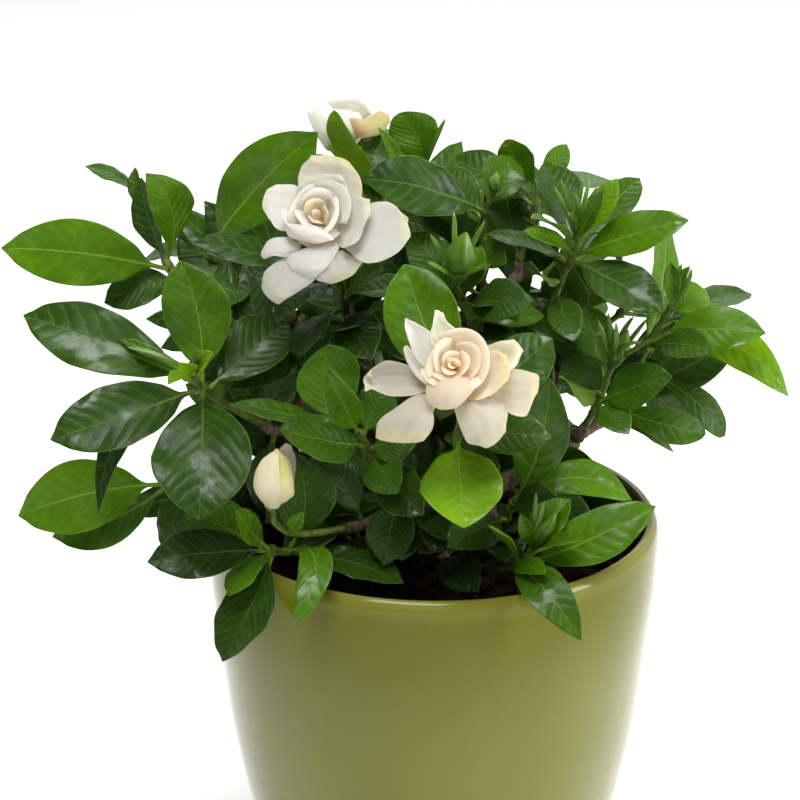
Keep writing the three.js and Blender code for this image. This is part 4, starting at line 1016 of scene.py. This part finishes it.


# Further old leaves, by the (column, row, depth) of their middles, their widths and tones; the low tones are
# partly painted shade
BEHIND = [
    ((172, 320, -6), 11, 0.1), ((186, 340, -10), 12, 0.1), ((690, 366, 4), 20, 0.2),
    ((204, 236, 44), 17, 0.3), ((206, 263, 34), 20, 0.15), ((510, 218, 40), 20, 0.15),
    ((152, 504, 4), 14, 0.05), ((528, 196, 50), 15, 0.25), ((536, 256, 36), 14, 0.1),
    ((242, 311, 22), 18, 0.05), ((620, 366, 14), 16, 0.05), ((654, 350, 20), 16, 0.1),
    ((394, 266, 20), 18, 0.05), ((324, 292, 14), 20, 0.05), ((254, 311, 14), 16, 0.05),
    ((212, 367, -10), 14, 0.0), ((534, 376, 6), 18, 0.0), ((420, 226, 26), 18, 0.1),
    ((444, 387, -10), 18, 0.0), ((391, 413, -10), 20, 0.0), ((300, 375, 10), 22, 0.0),
    ((272, 434, 0), 20, 0.0), ((233, 238, 40), 18, 0.1), ((264, 221, 44), 16, 0.2),
    ((500, 310, 20), 16, 0.0), ((470, 440, 0), 22, 0.0), ((444, 170, 56), 14, 0.3),
]
# Places, as (column, row, radius), where light comes through between the leaves
OPEN = [
    (609, 445, 22), (580, 286, 22), (538, 291, 13), (573, 400, 13), (706, 400, 14), (738, 376, 18),
    (150, 334, 12), (672, 439, 14), (506, 260, 9), (498, 273, 9), (606, 270, 14), (645, 314, 8),
    (692, 218, 20), (150, 290, 12),
]


def leaf_behind(place, wide, tone, points):
    """A leaf from the woody stems whose middle is at the place."""
    middle = seen(place)
    apart = np.linalg.norm(points - middle, axis=1)
    root = points[np.argmin(np.abs(apart - 22) + 0.6 * np.maximum(0, middle[1] - 12 - points[:, 1]))]
    tip, seed = middle + unit(middle - root) * 1.1 * wide, seed_of(*place)
    old = blade(0, tip, wide, point(0, -1, 0.5), root=root, arch=0.06, phase=seed, fold=0.2, grid=SHADED_GRID)
    return leaf_part(old, tone, seed)


def lets_light_by(root, tip):
    for share in (0.2, 0.4, 0.6, 0.8, 1.0):
        column, row = in_view(root + (tip - root) * share)
        if any(math.hypot(column - x, row - y) < r + 10 for x, y, r in OPEN):
            return False
    return True


def inner_leaves(routes):
    """Old dark leaves on short stalks along the woody branches, inside the plant, dark partly with age and
    partly as painted shade.
    """
    draw = draws_from(77)
    low, high = point(-70, -62, 176), point(78, 82, 285)
    for k, route in enumerate(routes):
        count = 7 if k < len(MAINS) else 3
        for j in range(count):
            at = 0.28 + 0.72 * (j + next(draw)) / count
            index = int(at * (len(route) - 2))
            root, along = route[index], unit(route[index + 1] - route[index])
            turn = 2.4 * (j + 3 * k) + next(draw)
            around = point(math.cos(turn), math.sin(turn), 0.3)
            out = unit(np.cross(along, around) + 0.35 * along + point(0, 0, 0.1))
            length = 34 + 20 * next(draw)
            tip = np.clip(root + out * length - point(0, 0, 0.12 * length), low, high)
            old = blade(0, tip, 0.4 * length, point(0.3 * out[0], -0.5, 1), grid=SHADED_GRID)
            old.update(root=root + 1.5 * out, arch=0.08, phase=next(draw), fold=0.25)
            # Low tones: partly the colour of old leaves, partly painted shade inside the plant.
            tone, seed = 0.16 * next(draw), next(draw)
            if lets_light_by(root, tip):
                yield leaf_part(old, tone, seed)
    for place, wide, tone in BEHIND:
        yield leaf_behind(place, wide, tone, np.vstack(routes))


# Trunk

def bark_rough(p, turn):
    ridges = 0.05 * np.sin(5 * turn + 0.21 * p[:, 2:]) + 0.035 * np.sin(9 * turn - 0.4 * p[:, :1] + 1)
    return ridges + 0.05 * np.sin(0.9 * p.sum(axis=1, keepdims=True))


def trunk_piece():
    def add_wood(route, radii, sides, tone, seed):
        parts.append(tube_part(route, radii, sides, tone, seed, rough=bark_rough))

    parts = []
    stump = curve_through([(0, 0, z) for z in (110, 132, 150, 168)], 40)
    add_wood(stump, np.linspace(8, 7, 40) * 0.96, 24, 0, 0.3)
    for name, places in MAINS.items():
        swell = 1 + 0.06 * np.sin(np.linspace(0, 19, 44) + len(name))
        route = curve_through([(0, 0, SOIL_TOP), *places], 44)
        add_wood(route, np.linspace(5.4, 3.1, 44) * swell, 16, 0, 0.5)
    branches = []
    for shoot in SHOOTS:
        main, at = shoot["from"]
        fork = along_stem(np.array(MAINS[main], float), at)
        along = unit(shoot["stem"][1] - shoot["stem"][0])
        end = shoot["stem"][0] - 0.3 * along
        bend = end - 7 * along
        branches.append(curve_through([fork, (fork + bend) / 2, bend, end], 26))
        radii = np.linspace(3.0, 2.1, 26) + 0.3 * np.exp(-((np.linspace(0, 5, 26) % 1 - 0.5) ** 2) * 60)
        add_wood(branches[-1], radii, 12, 0.3, 0.7)
    make_piece("woody_stems", parts, [BARK], "bark", "trunk")
    routes = [curve_through(places, 40) for places in MAINS.values()]
    make_piece("old_shaded_leaves", inner_leaves(routes + branches), PLANT, "leaf")


# Pot and soil

# The pot's outside, by its radius and the drop below its top
POT_OUTSIDE = [
    (62, 172), (64, 170), (72, 150), (78, 133), (83.5, 109), (88, 85), (91.6, 57), (94.2, 30), (95, 11),
    (93, 1),
]


def outside_radius(z):
    radii, drops = np.array(POT_OUTSIDE[::-1]).T
    return np.interp(POT_HEIGHT - z, drops, radii)


def lathe_part(profile, sides):
    turn = full_turn(sides)
    r, z = profile[:, :1], profile[:, 1:]
    return part(stacked(r * np.cos(turn), r * np.sin(turn), z), grid_quads(len(profile), sides, closed=True))


def pot_piece():
    side = curve_through([(r, POT_HEIGHT - d) for r, d in POT_OUTSIDE[1:-1]], 70)
    foot = curve_through([(60.5, 0), (62, 0.05), (63.4, 0.7), (64, 2)], 12)
    lip = [(95, 161), (94.9, 166), (94.2, 169.6), (92.6, 171.6), (91.2, 171.9), (89.9, 171.2), (89.2, 169)]
    inside = [(outside_radius(z) - POT_WALL, z) for z in np.linspace(152, 32, 14)]
    floor = [(60, 20), (58, 10.5), (56, 9), (30, 9), (0.05, 9)]
    under = [(0.05, 1.6), (40, 1.6), (56.5, 1.6), (57.5, 1.2), (58.2, 0.2), (59, 0)]
    profile = np.vstack([under, foot, side[1:-1], curve_through(lip, 34), inside, floor]) * (0.997, 1)
    make_piece("glazed_pot", [lathe_part(profile, 160)], [glaze_material()], "glaze", "pot")


def soil_height(x, y):
    lump = 2.2 * (np.sin(0.21 * x + 1.3) * np.cos(0.24 * y) + 0.6 * np.sin(0.47 * x - 0.35 * y))
    r = np.hypot(x, y)
    return SOIL_TOP + lump * ease(SOIL_RADIUS, 62, r) - 3 * ease(70, SOIL_RADIUS, r)


def rough_height(x, y):
    spots = 0.11 * np.stack([x.ravel(), y.ravel()], -1)
    return np.array([noise.fractal(Vector((*spot, 3.0)), 0.9, 2.1, 4) for spot in spots]).reshape(x.shape)


def crumb_part(centre, size, seed):
    """A small crumb of soil or bark, flattened and turned at random."""
    rows, sides = 4, 7
    rng = np.random.default_rng(seed)
    turn = full_turn(sides)
    r = np.array([0.1, 0.85, 0.8, 0.1])[:, None] * (1 + rng.uniform(-0.28, 0.28, (rows, sides)))
    p = stacked(r * np.cos(turn), r * np.sin(turn), np.array([-1, -0.55, 0.35, 1])[:, None])
    p = p * rng.uniform(0.45, 1.2, 3) * size
    axes = np.linalg.qr(rng.normal(size=(3, 3)))[0]
    traits = np.tile([rng.uniform() ** 2.5, rng.uniform(), 0, 0], (rows * sides, 1))
    return part(p @ axes + centre, grid_quads(rows, sides, closed=True), traits=traits)


def soil_piece():
    sides, crumbs = 220, 1500
    radii = np.concatenate([np.linspace(0.3, 87.6, 76), [88.3, SOIL_RADIUS, SOIL_RADIUS]])[:, None]
    turn = full_turn(sides)
    x, y = radii * np.cos(turn), radii * np.sin(turn)
    z = soil_height(x, y) + 1.5 * rough_height(x, y) * ease(SOIL_RADIUS, 80, np.hypot(x, y))
    # The last two rings go down the side, inside the pot's wall.
    z[-2:] = np.array([148, 130])[:, None]
    inset = np.array([0.995, 0.977])[:, None]
    x[-2:], y[-2:] = x[-2:] * inset, y[-2:] * inset
    parts = [part(stacked(x, y, z), grid_quads(len(radii), sides, closed=True)[:, ::-1])]
    rng = np.random.default_rng(5)
    for i in range(crumbs):
        r, a = 85.5 * math.sqrt(rng.uniform(0.02, 1)), rng.uniform(0, 2 * math.pi)
        x, y = r * math.cos(a), r * math.sin(a)
        size = rng.uniform(0.7, 2.4) * rng.uniform(0.5, 1)
        parts.append(crumb_part(point(x, y, soil_height(x, y) + 0.3), size, i))
    make_piece("potting_soil", parts, [soil_material()], "soil", "soil")


# Blooms. A petal's sides are read from base to end, each station as the column, row and height of its
# left side and then of its right side, the height in millimetres above the bloom's own plane.

def smooth_normals(p):
    """The sheet's normals, evened out so that its edge and corners don't splay."""
    normal = unit(np.cross(np.gradient(p, axis=1), np.gradient(p, axis=0)) + 1e-9)
    for _ in range(10):
        for axis in (0, 1):
            padded = np.concatenate([normal.take([0], axis), normal, normal.take([-1], axis)], axis)
            count = normal.shape[axis]
            normal = unit(sum(padded.take(range(k, k + count), axis) for k in range(3)))
    return normal


def thin_petal(p, normal, t, w, tint, seed):
    width = np.linalg.norm(p[:, -1] - p[:, 0], axis=-1)[:, None] / 2
    length = lengths_along(p[:, p.shape[1] // 2])[:, None]
    depth = 0.32 * np.sqrt(np.maximum(0.12, (1 - w**4) * (1 - 0.8 * t**8)))
    place, traits = stacked(length, width * w, w), stacked(tint, seed, t, 0 * w)
    return sheet_part(p, depth[..., None] * normal, place, traits, PETAL_INDEX)


def petal_part(left, right, toward, tint, seed, belly=2.0, end=2.5, roll=2.0, wave=0.5):
    rows, columns = 34, 25
    t = np.linspace(0, 1, rows)[:, None]
    w = np.sin(np.linspace(-1, 1, columns) * 1.3)[None, :] / math.sin(1.3)
    u = (1 + w[..., None]) / 2
    a, b = curve_through(left, rows)[:, None], curve_through(right, rows)[:, None]
    out = unit(a[-1, 0] + b[-1, 0] - a[-5, 0] - b[-5, 0])
    hump = np.clip(1 - w * w, 0, 1)
    p = a * (1 - u) + b * u + out * (end * hump**0.7 * t**3)[..., None]
    normal = smooth_normals(p)
    if (normal.mean(axis=(0, 1)) @ toward) < 0:
        normal = -normal
    normal = unit(normal + 0.5 * toward)
    cup = -belly * hump * np.sin(math.pi * np.clip(t * 0.85 + 0.1, 0, 1))
    curl = -roll * np.sqrt((np.abs(w) ** 4 * ease(0.25, 1, t) * 0.8) ** 2 + ease(0.72, 1.05, t) ** 3)
    wavy = wave * np.sin(2 * math.pi * (1.6 * t + seed) + 2.2 * w) * w**2 * ease(0.1, 0.6, t)
    fine = 0.12 * np.sin(2 * math.pi * (4.1 * t + 2.3 * seed) + 5 * w) * np.abs(w)
    fine = fine + 0.1 * np.sin(11 * w + 9 * seed + 2 * t)
    return thin_petal(p + (cup + curl + wavy + fine)[..., None] * normal, normal, t, w, tint, seed)


def cup_part(centre, axis, turns, base, rim, height, tint, seed, flare=1.5, low=0.0, ends=0.45, curve=0.6):
    """A petal that stands round the heart of a bloom, between two turns in degrees."""
    rows, columns = 26, 45
    across, beside = axes_round(axis)
    t = np.linspace(0, 1, rows)[:, None]
    w = np.linspace(-1, 1, columns)[None, :]
    turn = np.radians(turns[0] + (turns[1] - turns[0]) * (w + 1) / 2)
    spread = curve_through([(r, 0, 0) for r in rim], columns)[:, 0][None, :]
    tall = height * (1 - ends * np.abs(w) ** 3 + 0.05 * np.sin(5 * w + 7 * seed))
    flared = flare * ease(0.72, 1.05, t) ** 1.3 * (1 + 0.3 * np.sin(4 * w + 9 * seed))
    r = base + (spread - base) * t**curve + flared
    r = r + 0.25 * np.sin(2 * math.pi * (1.3 * t + seed) + 3 * w) * t
    z = low + tall * (t - 0.12 * ease(0.8, 1.05, t))
    out = across * np.cos(turn)[..., None] + beside * np.sin(turn)[..., None]
    p = centre + out * r[..., None] + axis * z[..., None]
    normal = smooth_normals(p)
    if np.mean(np.sum(normal * out, -1)) > 0:
        normal = -normal
    return thin_petal(p, normal, t, w, tint, seed)


class Bloom:
    """With by_depth the heights of petals are depths in the view, as those of leaves are."""

    def __init__(self, centre, facing, by_depth=False):
        self.centre, self.axis = seen(centre), unit(facing)
        self.at = seen if by_depth else self.above_plane
        self.toward = point(0, -1, 0.3) if by_depth else unit(EYE - self.centre)

    def above_plane(self, place):
        column, row, height = place
        ray = ray_through(column, row)
        return EYE + ray * (((self.centre - EYE) @ self.axis + height) / (ray @ self.axis))

    def petal(self, tint, seed, *stations, **shape):
        left, right = [self.at(s[:3]) for s in stations], [self.at(s[3:]) for s in stations]
        return petal_part(left, right, self.toward, tint, seed, **shape)

    def cup(self, *args, about=None, **shape):
        centre = self.at((*about, 0)) if about else self.centre
        return cup_part(centre, self.axis, *args, **shape)


def calyx_part(start, along, centre):
    route = curve_through([start, start + 3 * along, centre], 24)
    radii = np.interp(np.linspace(0, 1, 24), [0, 0.3, 1], [1.7, 2.6, 2.9])
    return tube_part(route, radii, 14, 0.5, 0.2, SEPAL_INDEX)


def front_bloom(start, along):
    b = Bloom((455, 370, -84), point(-0.05, -0.88, 0.47))
    return [
        calyx_part(start, along, b.centre),
        # Outer petals, from the far left round by the bottom to the top
        b.petal(0.2, 0.13, (426, 392, -2, 430, 378, -2), (410, 396, -1, 410, 366, -1),
                (390, 396, 1, 388, 361, 1), (374, 390, 2, 374, 367, 2), (366, 386, 3, 367, 373, 3), belly=2.8,
                end=1.6, roll=-2.2, wave=1.0),
        b.petal(0.3, 0.37, (436, 392, 1, 446, 400, 1), (414, 396, 1, 434, 410, 1), (392, 410, 2, 434, 420, 2),
                (378, 422, 1, 432, 430, 1), (375, 438, 0, 424, 441, 0), belly=-3.0, end=1.5, roll=2.4,
                wave=1.1),
        b.petal(0.35, 0.62, (452, 396, 2, 474, 398, 2), (455, 412, 2, 488, 398, 2),
                (461, 430, 2, 504, 404, 2), (468, 443, 1, 508, 414, 1), (481, 449, -1, 505, 432, -1),
                belly=-2.8, end=2.0, roll=2.6, wave=1.2),
        b.petal(0.5, 0.81, (480, 372, 0, 480, 392, 0), (497, 369, 1, 500, 404, 1), (512, 369, 2, 511, 414, 2),
                (528, 371, 2, 526, 416, 1), (538, 378, 1, 536, 400, 0), belly=2.4, end=1.4, roll=2.0,
                wave=2.0),
        b.petal(-0.34, 0.24, (474, 350, 2, 484, 372, 2), (486, 346, 4, 503, 372, 3),
                (500, 341, 6, 516, 366, 4), (511, 338, 7, 521, 350, 5), belly=2.4, end=0.8, roll=-2.0,
                wave=1.0),
        b.petal(-0.1, 0.45, (430, 372, 1, 440, 358, 1), (417, 360, 2, 438, 343, 2),
                (409, 342, 3, 433, 334, 3), (405, 328, 4, 420, 325, 4), (405, 318, 4, 409, 319, 4), belly=2.6,
                end=0.3, roll=1.2, wave=0.9),
        b.petal(-0.06, 0.71, (430, 388, 1, 438, 374, 1), (416, 376, 1, 424, 362, 1),
                (407, 362, 1, 414, 352, 1), (403, 349, 1, 407, 345, 1), belly=2.2, end=0.4, roll=1.0),
        b.petal(-0.32, 0.52, (436, 356, 2, 466, 352, 2), (430, 338, 3, 466, 338, 3),
                (433, 322, 5, 450, 325, 5), (434, 311, 6, 442, 314, 6), belly=2.0, end=0.8, roll=1.6),
        # Inner petals
        b.petal(0.6, 0.33, (470, 366, 3, 466, 398, 3), (482, 354, 6, 478, 400, 6), (495, 350, 8, 492, 394, 8),
                (504, 356, 9, 506, 382, 9), belly=2.5, end=1.6, roll=1.4),
        b.petal(0.55, 0.58, (432, 372, 5, 474, 376, 5), (426, 388, 8, 474, 388, 8),
                (427, 401, 8, 467, 399, 8), (434, 410, 5, 458, 409, 5), belly=-3.0, end=1.0, roll=2.2),
        b.cup((0, 358), 0.5, (11, 11, 11), 4.5, 0.8, 0.3, low=0.0, flare=0.0, ends=0.0, curve=0.9),
        b.cup((-52, 118), 4.0, (11, 12.8, 15.2, 13.4), 11.0, 0.8, 0.21, low=0.5, flare=0.3, ends=0.5,
              curve=0.8),
        b.cup((98, 222), 4.0, (11.5, 9.6, 10), 10.5, 0.75, 0.67, low=0.5, flare=0.8, curve=1.0),
        b.cup((182, 338), 3.5, (11.2, 8.4, 10.2), 9.5, 0.85, 0.49, low=1.0, flare=1.4, ends=0.25, curve=1.0),
        b.cup((-60, 96), 3.0, (7.0, 9.0, 10.6, 8.0), 9.0, 0.9, 0.87, low=1.0, flare=0.4, ends=0.7, curve=0.8,
              about=(455, 369)),
        b.cup((84, 222), 2.6, (10.2, 7.6, 6.0), 11.0, 0.85, 0.35, low=1.0, flare=0.9, ends=0.6, curve=0.9,
              about=(454, 368)),
        b.cup((172, 326), 2.4, (8.6, 6.4, 6.0), 9.2, 0.95, 0.55, low=1.0, flare=1.2, ends=0.5, curve=0.9,
              about=(454, 369)),
        b.cup((-70, 70), 2.0, (4.2, 5.4, 6.6), 9.6, 1.0, 0.75, low=1.0, flare=0.5, ends=0.6, curve=0.9,
              about=(454, 369)),
        b.cup((52, 190), 1.5, (5.6, 4.4, 3.4), 9.8, 1.0, 0.15, low=1.0, flare=0.6, ends=0.6, curve=0.9,
              about=(453, 369)),
        b.cup((170, 320), 1.0, (4.2, 3.0, 2.6), 9.6, 1.0, 0.95, low=1.0, flare=0.7, ends=0.6, curve=0.8,
              about=(453, 369)),
        b.cup((-10, 150), 0.7, (2.4, 2.0, 2.2), 10.6, 1.0, 0.45, low=1.0, flare=0.6, curve=0.8,
              about=(453, 368)),
        b.cup((140, 330), 0.4, (1.4, 1.1, 1.3), 10.7, 1.0, 0.05, low=1.0, flare=0.4, curve=0.8,
              about=(453, 368)),
    ]


def upper_bloom(start, along):
    b = Bloom((325, 232, -38), point(-0.1, -0.75, 0.65))
    return [
        calyx_part(start, along, b.centre),
        # Outer petals
        b.petal(0.05, 0.31, (346, 226, 1, 344, 248, 1), (366, 206, 2, 362, 262, 2),
                (384, 201, 2, 378, 262, 2), (396, 206, 1, 398, 252, 0), (405, 220, 0, 410, 238, -1),
                belly=1.5, end=1.0, roll=1.2),
        b.petal(-0.045, 0.64, (300, 232, 0, 306, 212, 0), (279, 230, 0, 298, 187, 0),
                (270, 220, 0, 280, 184, 0), (262, 207, 0, 268, 187, 0), belly=1.5, end=0.8, roll=1.5),
        b.petal(0.25, 0.17, (304, 206, -3, 346, 214, -3), (298, 184, -3, 361, 196, -3),
                (301, 166, -2, 360, 178, -2), (312, 157, -1, 350, 162, -1), belly=3.5, end=2.0, roll=2.5),
        b.petal(0.02, 0.47, (302, 206, 0, 344, 208, 0), (296, 193, 1, 348, 192, 1),
                (302, 177, 3, 342, 175, 3), belly=3.0, end=1.0, roll=2.0),
        b.petal(-0.03, 0.85, (302, 240, 1, 300, 252, 1), (284, 237, 1, 288, 257, 1),
                (268, 240, 1, 274, 256, 1), (261, 251, 0, 263, 258, 0), belly=-1.0, end=0.6, roll=1.0),
        b.petal(0.05, 0.58, (300, 254, 0, 318, 262, 0), (283, 258, -1, 316, 278, -1),
                (265, 271, -2, 293, 294, -2), (260, 284, -3, 278, 303, -3), belly=-1.5, end=1.5, roll=2.0),
        b.petal(0.1, 0.39, (322, 256, 1, 342, 250, 1), (316, 270, 0, 352, 256, 0),
                (317, 280, -1, 362, 261, -1), (330, 283, -2, 358, 270, -2), belly=-1.5, end=1.2, roll=1.5),
        b.petal(-0.03, 0.77, (318, 244, 3, 340, 242, 3), (300, 250, 3, 338, 250, 3),
                (286, 259, 2, 326, 268, 2), (288, 270, 1, 313, 278, 1), belly=-2.0, end=1.2, roll=2.0),
        # Inner petals
        b.petal(0.04, 0.22, (338, 226, 3, 338, 244, 3), (347, 204, 6, 344, 248, 6),
                (356, 194, 8, 358, 240, 7), (367, 202, 8, 368, 220, 7), belly=2.5, end=1.4, roll=1.5),
        b.petal(-0.05, 0.92, (314, 232, 5, 334, 236, 5), (300, 226, 8, 332, 240, 8),
                (288, 222, 8, 312, 242, 8), (284, 220, 7, 288, 236, 7), belly=-2.5, end=0.8, roll=1.5),
        b.cup((0, 358), 0.5, (12, 12, 12), 4.0, 0.75, 0.3, low=-1.0, flare=0.0, ends=0.0, curve=0.9,
              about=(322, 224)),
        b.cup((-25, 118), 4.0, (10.5, 12.5, 13), 11.0, -0.015, 0.12, low=0.5, flare=0.8, ends=0.35, curve=0.9,
              about=(323, 222)),
        b.cup((82, 205), 4.0, (12.5, 11.5, 12), 10.0, -0.03, 0.52, low=0.5, flare=0.8, curve=0.9,
              about=(323, 222)),
        b.cup((165, 318), 3.0, (14.5, 10.5, 9.5), 8.0, -0.08, 0.72, low=0.5, flare=1.6, ends=0.3, curve=0.9,
              about=(322, 223)),
        b.cup((35, 172), 3.0, (9.0, 9.4, 9.6), 10.5, -0.07, 0.27, low=0.5, flare=0.6, curve=0.9,
              about=(322, 222)),
        b.cup((-80, 48), 2.6, (8.4, 7.4, 8.2), 11.5, -0.08, 0.32, low=1.0, flare=1.0, ends=0.3, curve=0.8,
              about=(322, 222)),
        b.cup((158, 282), 2.4, (9.5, 7.4, 6.5), 9.5, -0.06, 0.66, low=1.0, flare=1.2, ends=0.3, curve=0.9,
              about=(322, 222)),
        b.cup((60, 190), 1.6, (6.0, 5.6, 5.4), 10.0, 0.7, 0.91, low=0.5, flare=0.5, curve=0.8,
              about=(321, 222)),
        b.cup((-50, 70), 1.4, (4.0, 3.6, 3.8), 9.5, 0.75, 0.41, low=0.5, flare=0.5, curve=0.8,
              about=(321, 222)),
        b.cup((170, 300), 1.2, (4.2, 3.6, 3.2), 9.0, 0.75, 0.73, low=0.5, flare=0.6, curve=0.8,
              about=(321, 222)),
        b.cup((60, 220), 0.5, (1.8, 1.4, 1.6), 9.5, 0.8, 0.05, low=1.0, flare=0.3, about=(320, 223)),
    ]


def rear_bloom(start, along):
    b = Bloom((346, 128, 62), point(0.05, 0.35, 0.93), by_depth=True)
    return [
        calyx_part(start, along, b.centre),
        # Petals tinted -0.2 take the near-white finish, partly painted light coming through them from behind.
        b.petal(-0.2, 0.3, (326, 150, 56, 340, 150, 54), (314, 132, 54, 340, 134, 50),
                (308, 118, 56, 334, 112, 52), (307, 108, 58, 326, 101, 58), belly=-2.5, end=0.8, roll=1.0),
        b.petal(-0.2, 0.6, (336, 150, 54, 352, 150, 54), (332, 130, 52, 362, 132, 52),
                (326, 108, 60, 362, 110, 58), (329, 95, 66, 358, 93, 66), belly=-2.5, end=1.0, roll=2.0),
        b.petal(-0.2, 0.8, (346, 148, 58, 356, 148, 62), (348, 126, 66, 372, 128, 72),
                (355, 100, 80, 372, 104, 84), (362, 90, 86, 368, 90, 88), belly=-1.5, end=0.8, roll=1.0),
        b.petal(1.5, 0.4, (346, 118, 54, 352, 138, 54), (356, 118, 50, 364, 138, 48),
                (367, 118, 52, 374, 136, 49), (379, 111, 56, 384, 132, 53), (387, 112, 58, 390, 121, 56),
                belly=-1.5, end=0.8, roll=1.2),
        b.petal(-0.2, 0.15, (342, 140, 66, 354, 140, 66), (346, 124, 84, 370, 126, 84),
                (356, 118, 98, 380, 122, 96), belly=2.0, end=2.0, roll=2.0),
        b.petal(-0.2, 0.95, (336, 140, 66, 348, 140, 66), (320, 126, 84, 346, 124, 86),
                (314, 118, 98, 336, 118, 100), belly=2.0, end=2.0, roll=2.0),
        b.cup((20, 190), 4.0, (11, 10.5, 10), 12.0, -0.2, 0.42),
        b.cup((170, 330), 4.0, (10, 10.5, 11), 12.0, -0.2, 0.72),
        b.cup((290, 430), 3.5, (9, 9, 9), 12.5, -0.2, 0.22),
        b.cup((60, 240), 2.5, (6.5, 6.2, 6), 12.5, 0.1, 0.62, flare=1.0),
        b.cup((220, 400), 2.0, (5, 4.7, 4.5), 13.0, 0.2, 0.12, flare=0.8),
        b.cup((0, 230), 1.0, (2.6, 2.4, 2.2), 13.0, 0.3, 0.82, flare=0.5),
    ]


def opening_bud(start, along):
    b = Bloom((274, 497, -70), UP, by_depth=True)
    return [
        calyx_part(start, along, b.centre),
        bud_part(start + 2 * along, seen((277, 449, -70)), 6.6, 0.4, material=PETAL_INDEX, ribs=3, twist=2.2),
        b.petal(-0.42, 0.3, (266, 506, -74, 277, 506, -75), (255, 492, -73, 280, 492, -79),
                (254, 476, -73, 280, 478, -79), (261, 461, -73, 279, 463, -77),
                (270, 453, -73, 279, 454, -74), belly=-1.8, end=0.4, roll=0.2, wave=0.1),
        b.petal(-0.6, 0.7, (277, 504, -76, 286, 501, -72), (279, 488, -78, 294, 494, -70),
                (279, 474, -77, 293, 478, -70), (280, 460, -75, 290, 463, -70),
                (281, 455, -73, 285, 457, -71), belly=-1.5, end=0.4, roll=0.2, wave=0.1),
        # The back petal takes the grey finish: painted shade.
        b.petal(-1.4, 0.5, (286, 490, -66, 293, 486, -64), (278, 468, -66, 296, 466, -64),
                (279, 451, -65, 295, 455, -64), (284, 444, -64, 290, 446, -64), belly=-1.2, end=0.5, roll=0.8,
                wave=0.2),
    ]


BLOOMS = {
    "bloom_front": ("shoot_front", front_bloom),
    "bloom_upper": ("shoot_upper_bloom", upper_bloom),
    "bloom_rear": ("shoot_rear_bloom", rear_bloom),
    "bud_opening": ("shoot_bud", opening_bud),
}


def build_plant():
    for row, height, reach, rise, turns in ROWS:
        for turn in turns:
            add_ruled_shoot(row, height, reach, rise, turn)
    pot_piece()
    soil_piece()
    trunk_piece()
    for shoot in SHOOTS:
        shoot_piece(shoot)
    stems = {shoot["name"]: shoot["stem"] for shoot in SHOOTS}
    for name, (carrier, bloom_parts) in BLOOMS.items():
        before, end = stems[carrier][-2:]
        along = unit(end - before)
        title = name.replace("bloom", "petals").replace("bud", "petals")
        make_piece(title, bloom_parts(end + 0.3 * along, along), PLANT, "petal", name)


# Floor, lights and camera

def add_object(name, data, place=(0, 0, 0), turn=(0, 0, 0)):
    made = bpy.data.objects.new(name, data)
    made.location, made.rotation_euler = place, turn
    bpy.context.scene.collection.objects.link(made)
    return made


def build_stage():
    s = Shader("pale_floor")
    mesh = bpy.data.meshes.new("floor")
    corners = [(x * 30.0, y * 30.0, -0.0005) for x, y in ((-1, -1), (1, -1), (1, 1), (-1, 1))]
    mesh.from_pydata(corners, [], [(0, 1, 2, 3)])
    mesh.materials.append(s.set(
        Base_Color=s.mix(s.noise(2.0, 2.0), (0.9, 0.9, 0.9), (0.93, 0.93, 0.93)), Roughness=0.7,
        Normal=s.bump(s.noise(300.0), 0.1, 0.2), Emission_Color=(1, 1, 1), Emission_Strength=0.3,
    ))
    floor = add_object("floor", mesh)
    floor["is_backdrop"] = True


def area_light(name, place, target, size, power):
    light = bpy.data.lights.new(name, "AREA")
    light.shape = "RECTANGLE"
    light.size, light.size_y = size
    light.energy = power
    add_object(name, light, place, (Vector(target) - Vector(place)).to_track_quat("-Z", "Y").to_euler())


def build_light():
    scene = bpy.context.scene
    scene.world = bpy.data.worlds.new("studio")
    scene.world.use_nodes = True
    world = Nodes(scene.world.node_tree)
    x, y, z = world.split(world.value("ShaderNodeTexCoord", output="Generated"))
    # White, brighter from behind and from the right, and less so straight above
    strength = world.span(z, 0.35, 0.9, 1.0, 0.2) * (world.span(y, -0.7, 0.35, 0.08, 1.0) * 1.2)
    background = world.tree.nodes["Background"]
    world.put(background.inputs["Strength"], world.span(x, -0.7, 0.5, 0.3, 1.1) * strength)
    world.put(background.inputs["Color"], (1, 1, 1))
    area_light("above", (-0.2, -0.5, 1.8), (0, 0, 0.25), (0.85, 0.85), 32)
    area_light("front", (-0.3, -1.8, 1.2), (0, 0, 0.2), (1.2, 1.2), 4)
    area_light("side", (1.5, -0.5, 0.7), (0, 0, 0.2), (0.5, 0.9), 21)
    area_light("rear", (0.2, 1.5, 1.5), (0, 0, 0.3), (1.6, 1.0), 14)
    scene.view_settings.view_transform = "Standard"


def build_camera():
    camera = bpy.data.cameras.new("camera")
    camera.sensor_width = 36
    camera.lens = 36 / (2 * MIDDLE * SLOPE)
    camera.clip_end = 100
    bpy.context.scene.camera = add_object("camera", camera, EYE * MM, (math.pi / 2 - PITCH, 0, 0))


build_camera()
build_plant()
build_stage()
build_light()
bpy.context.view_layer.update()
[[list(corner) for corner in box] for box in (CAD_BOX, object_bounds())]
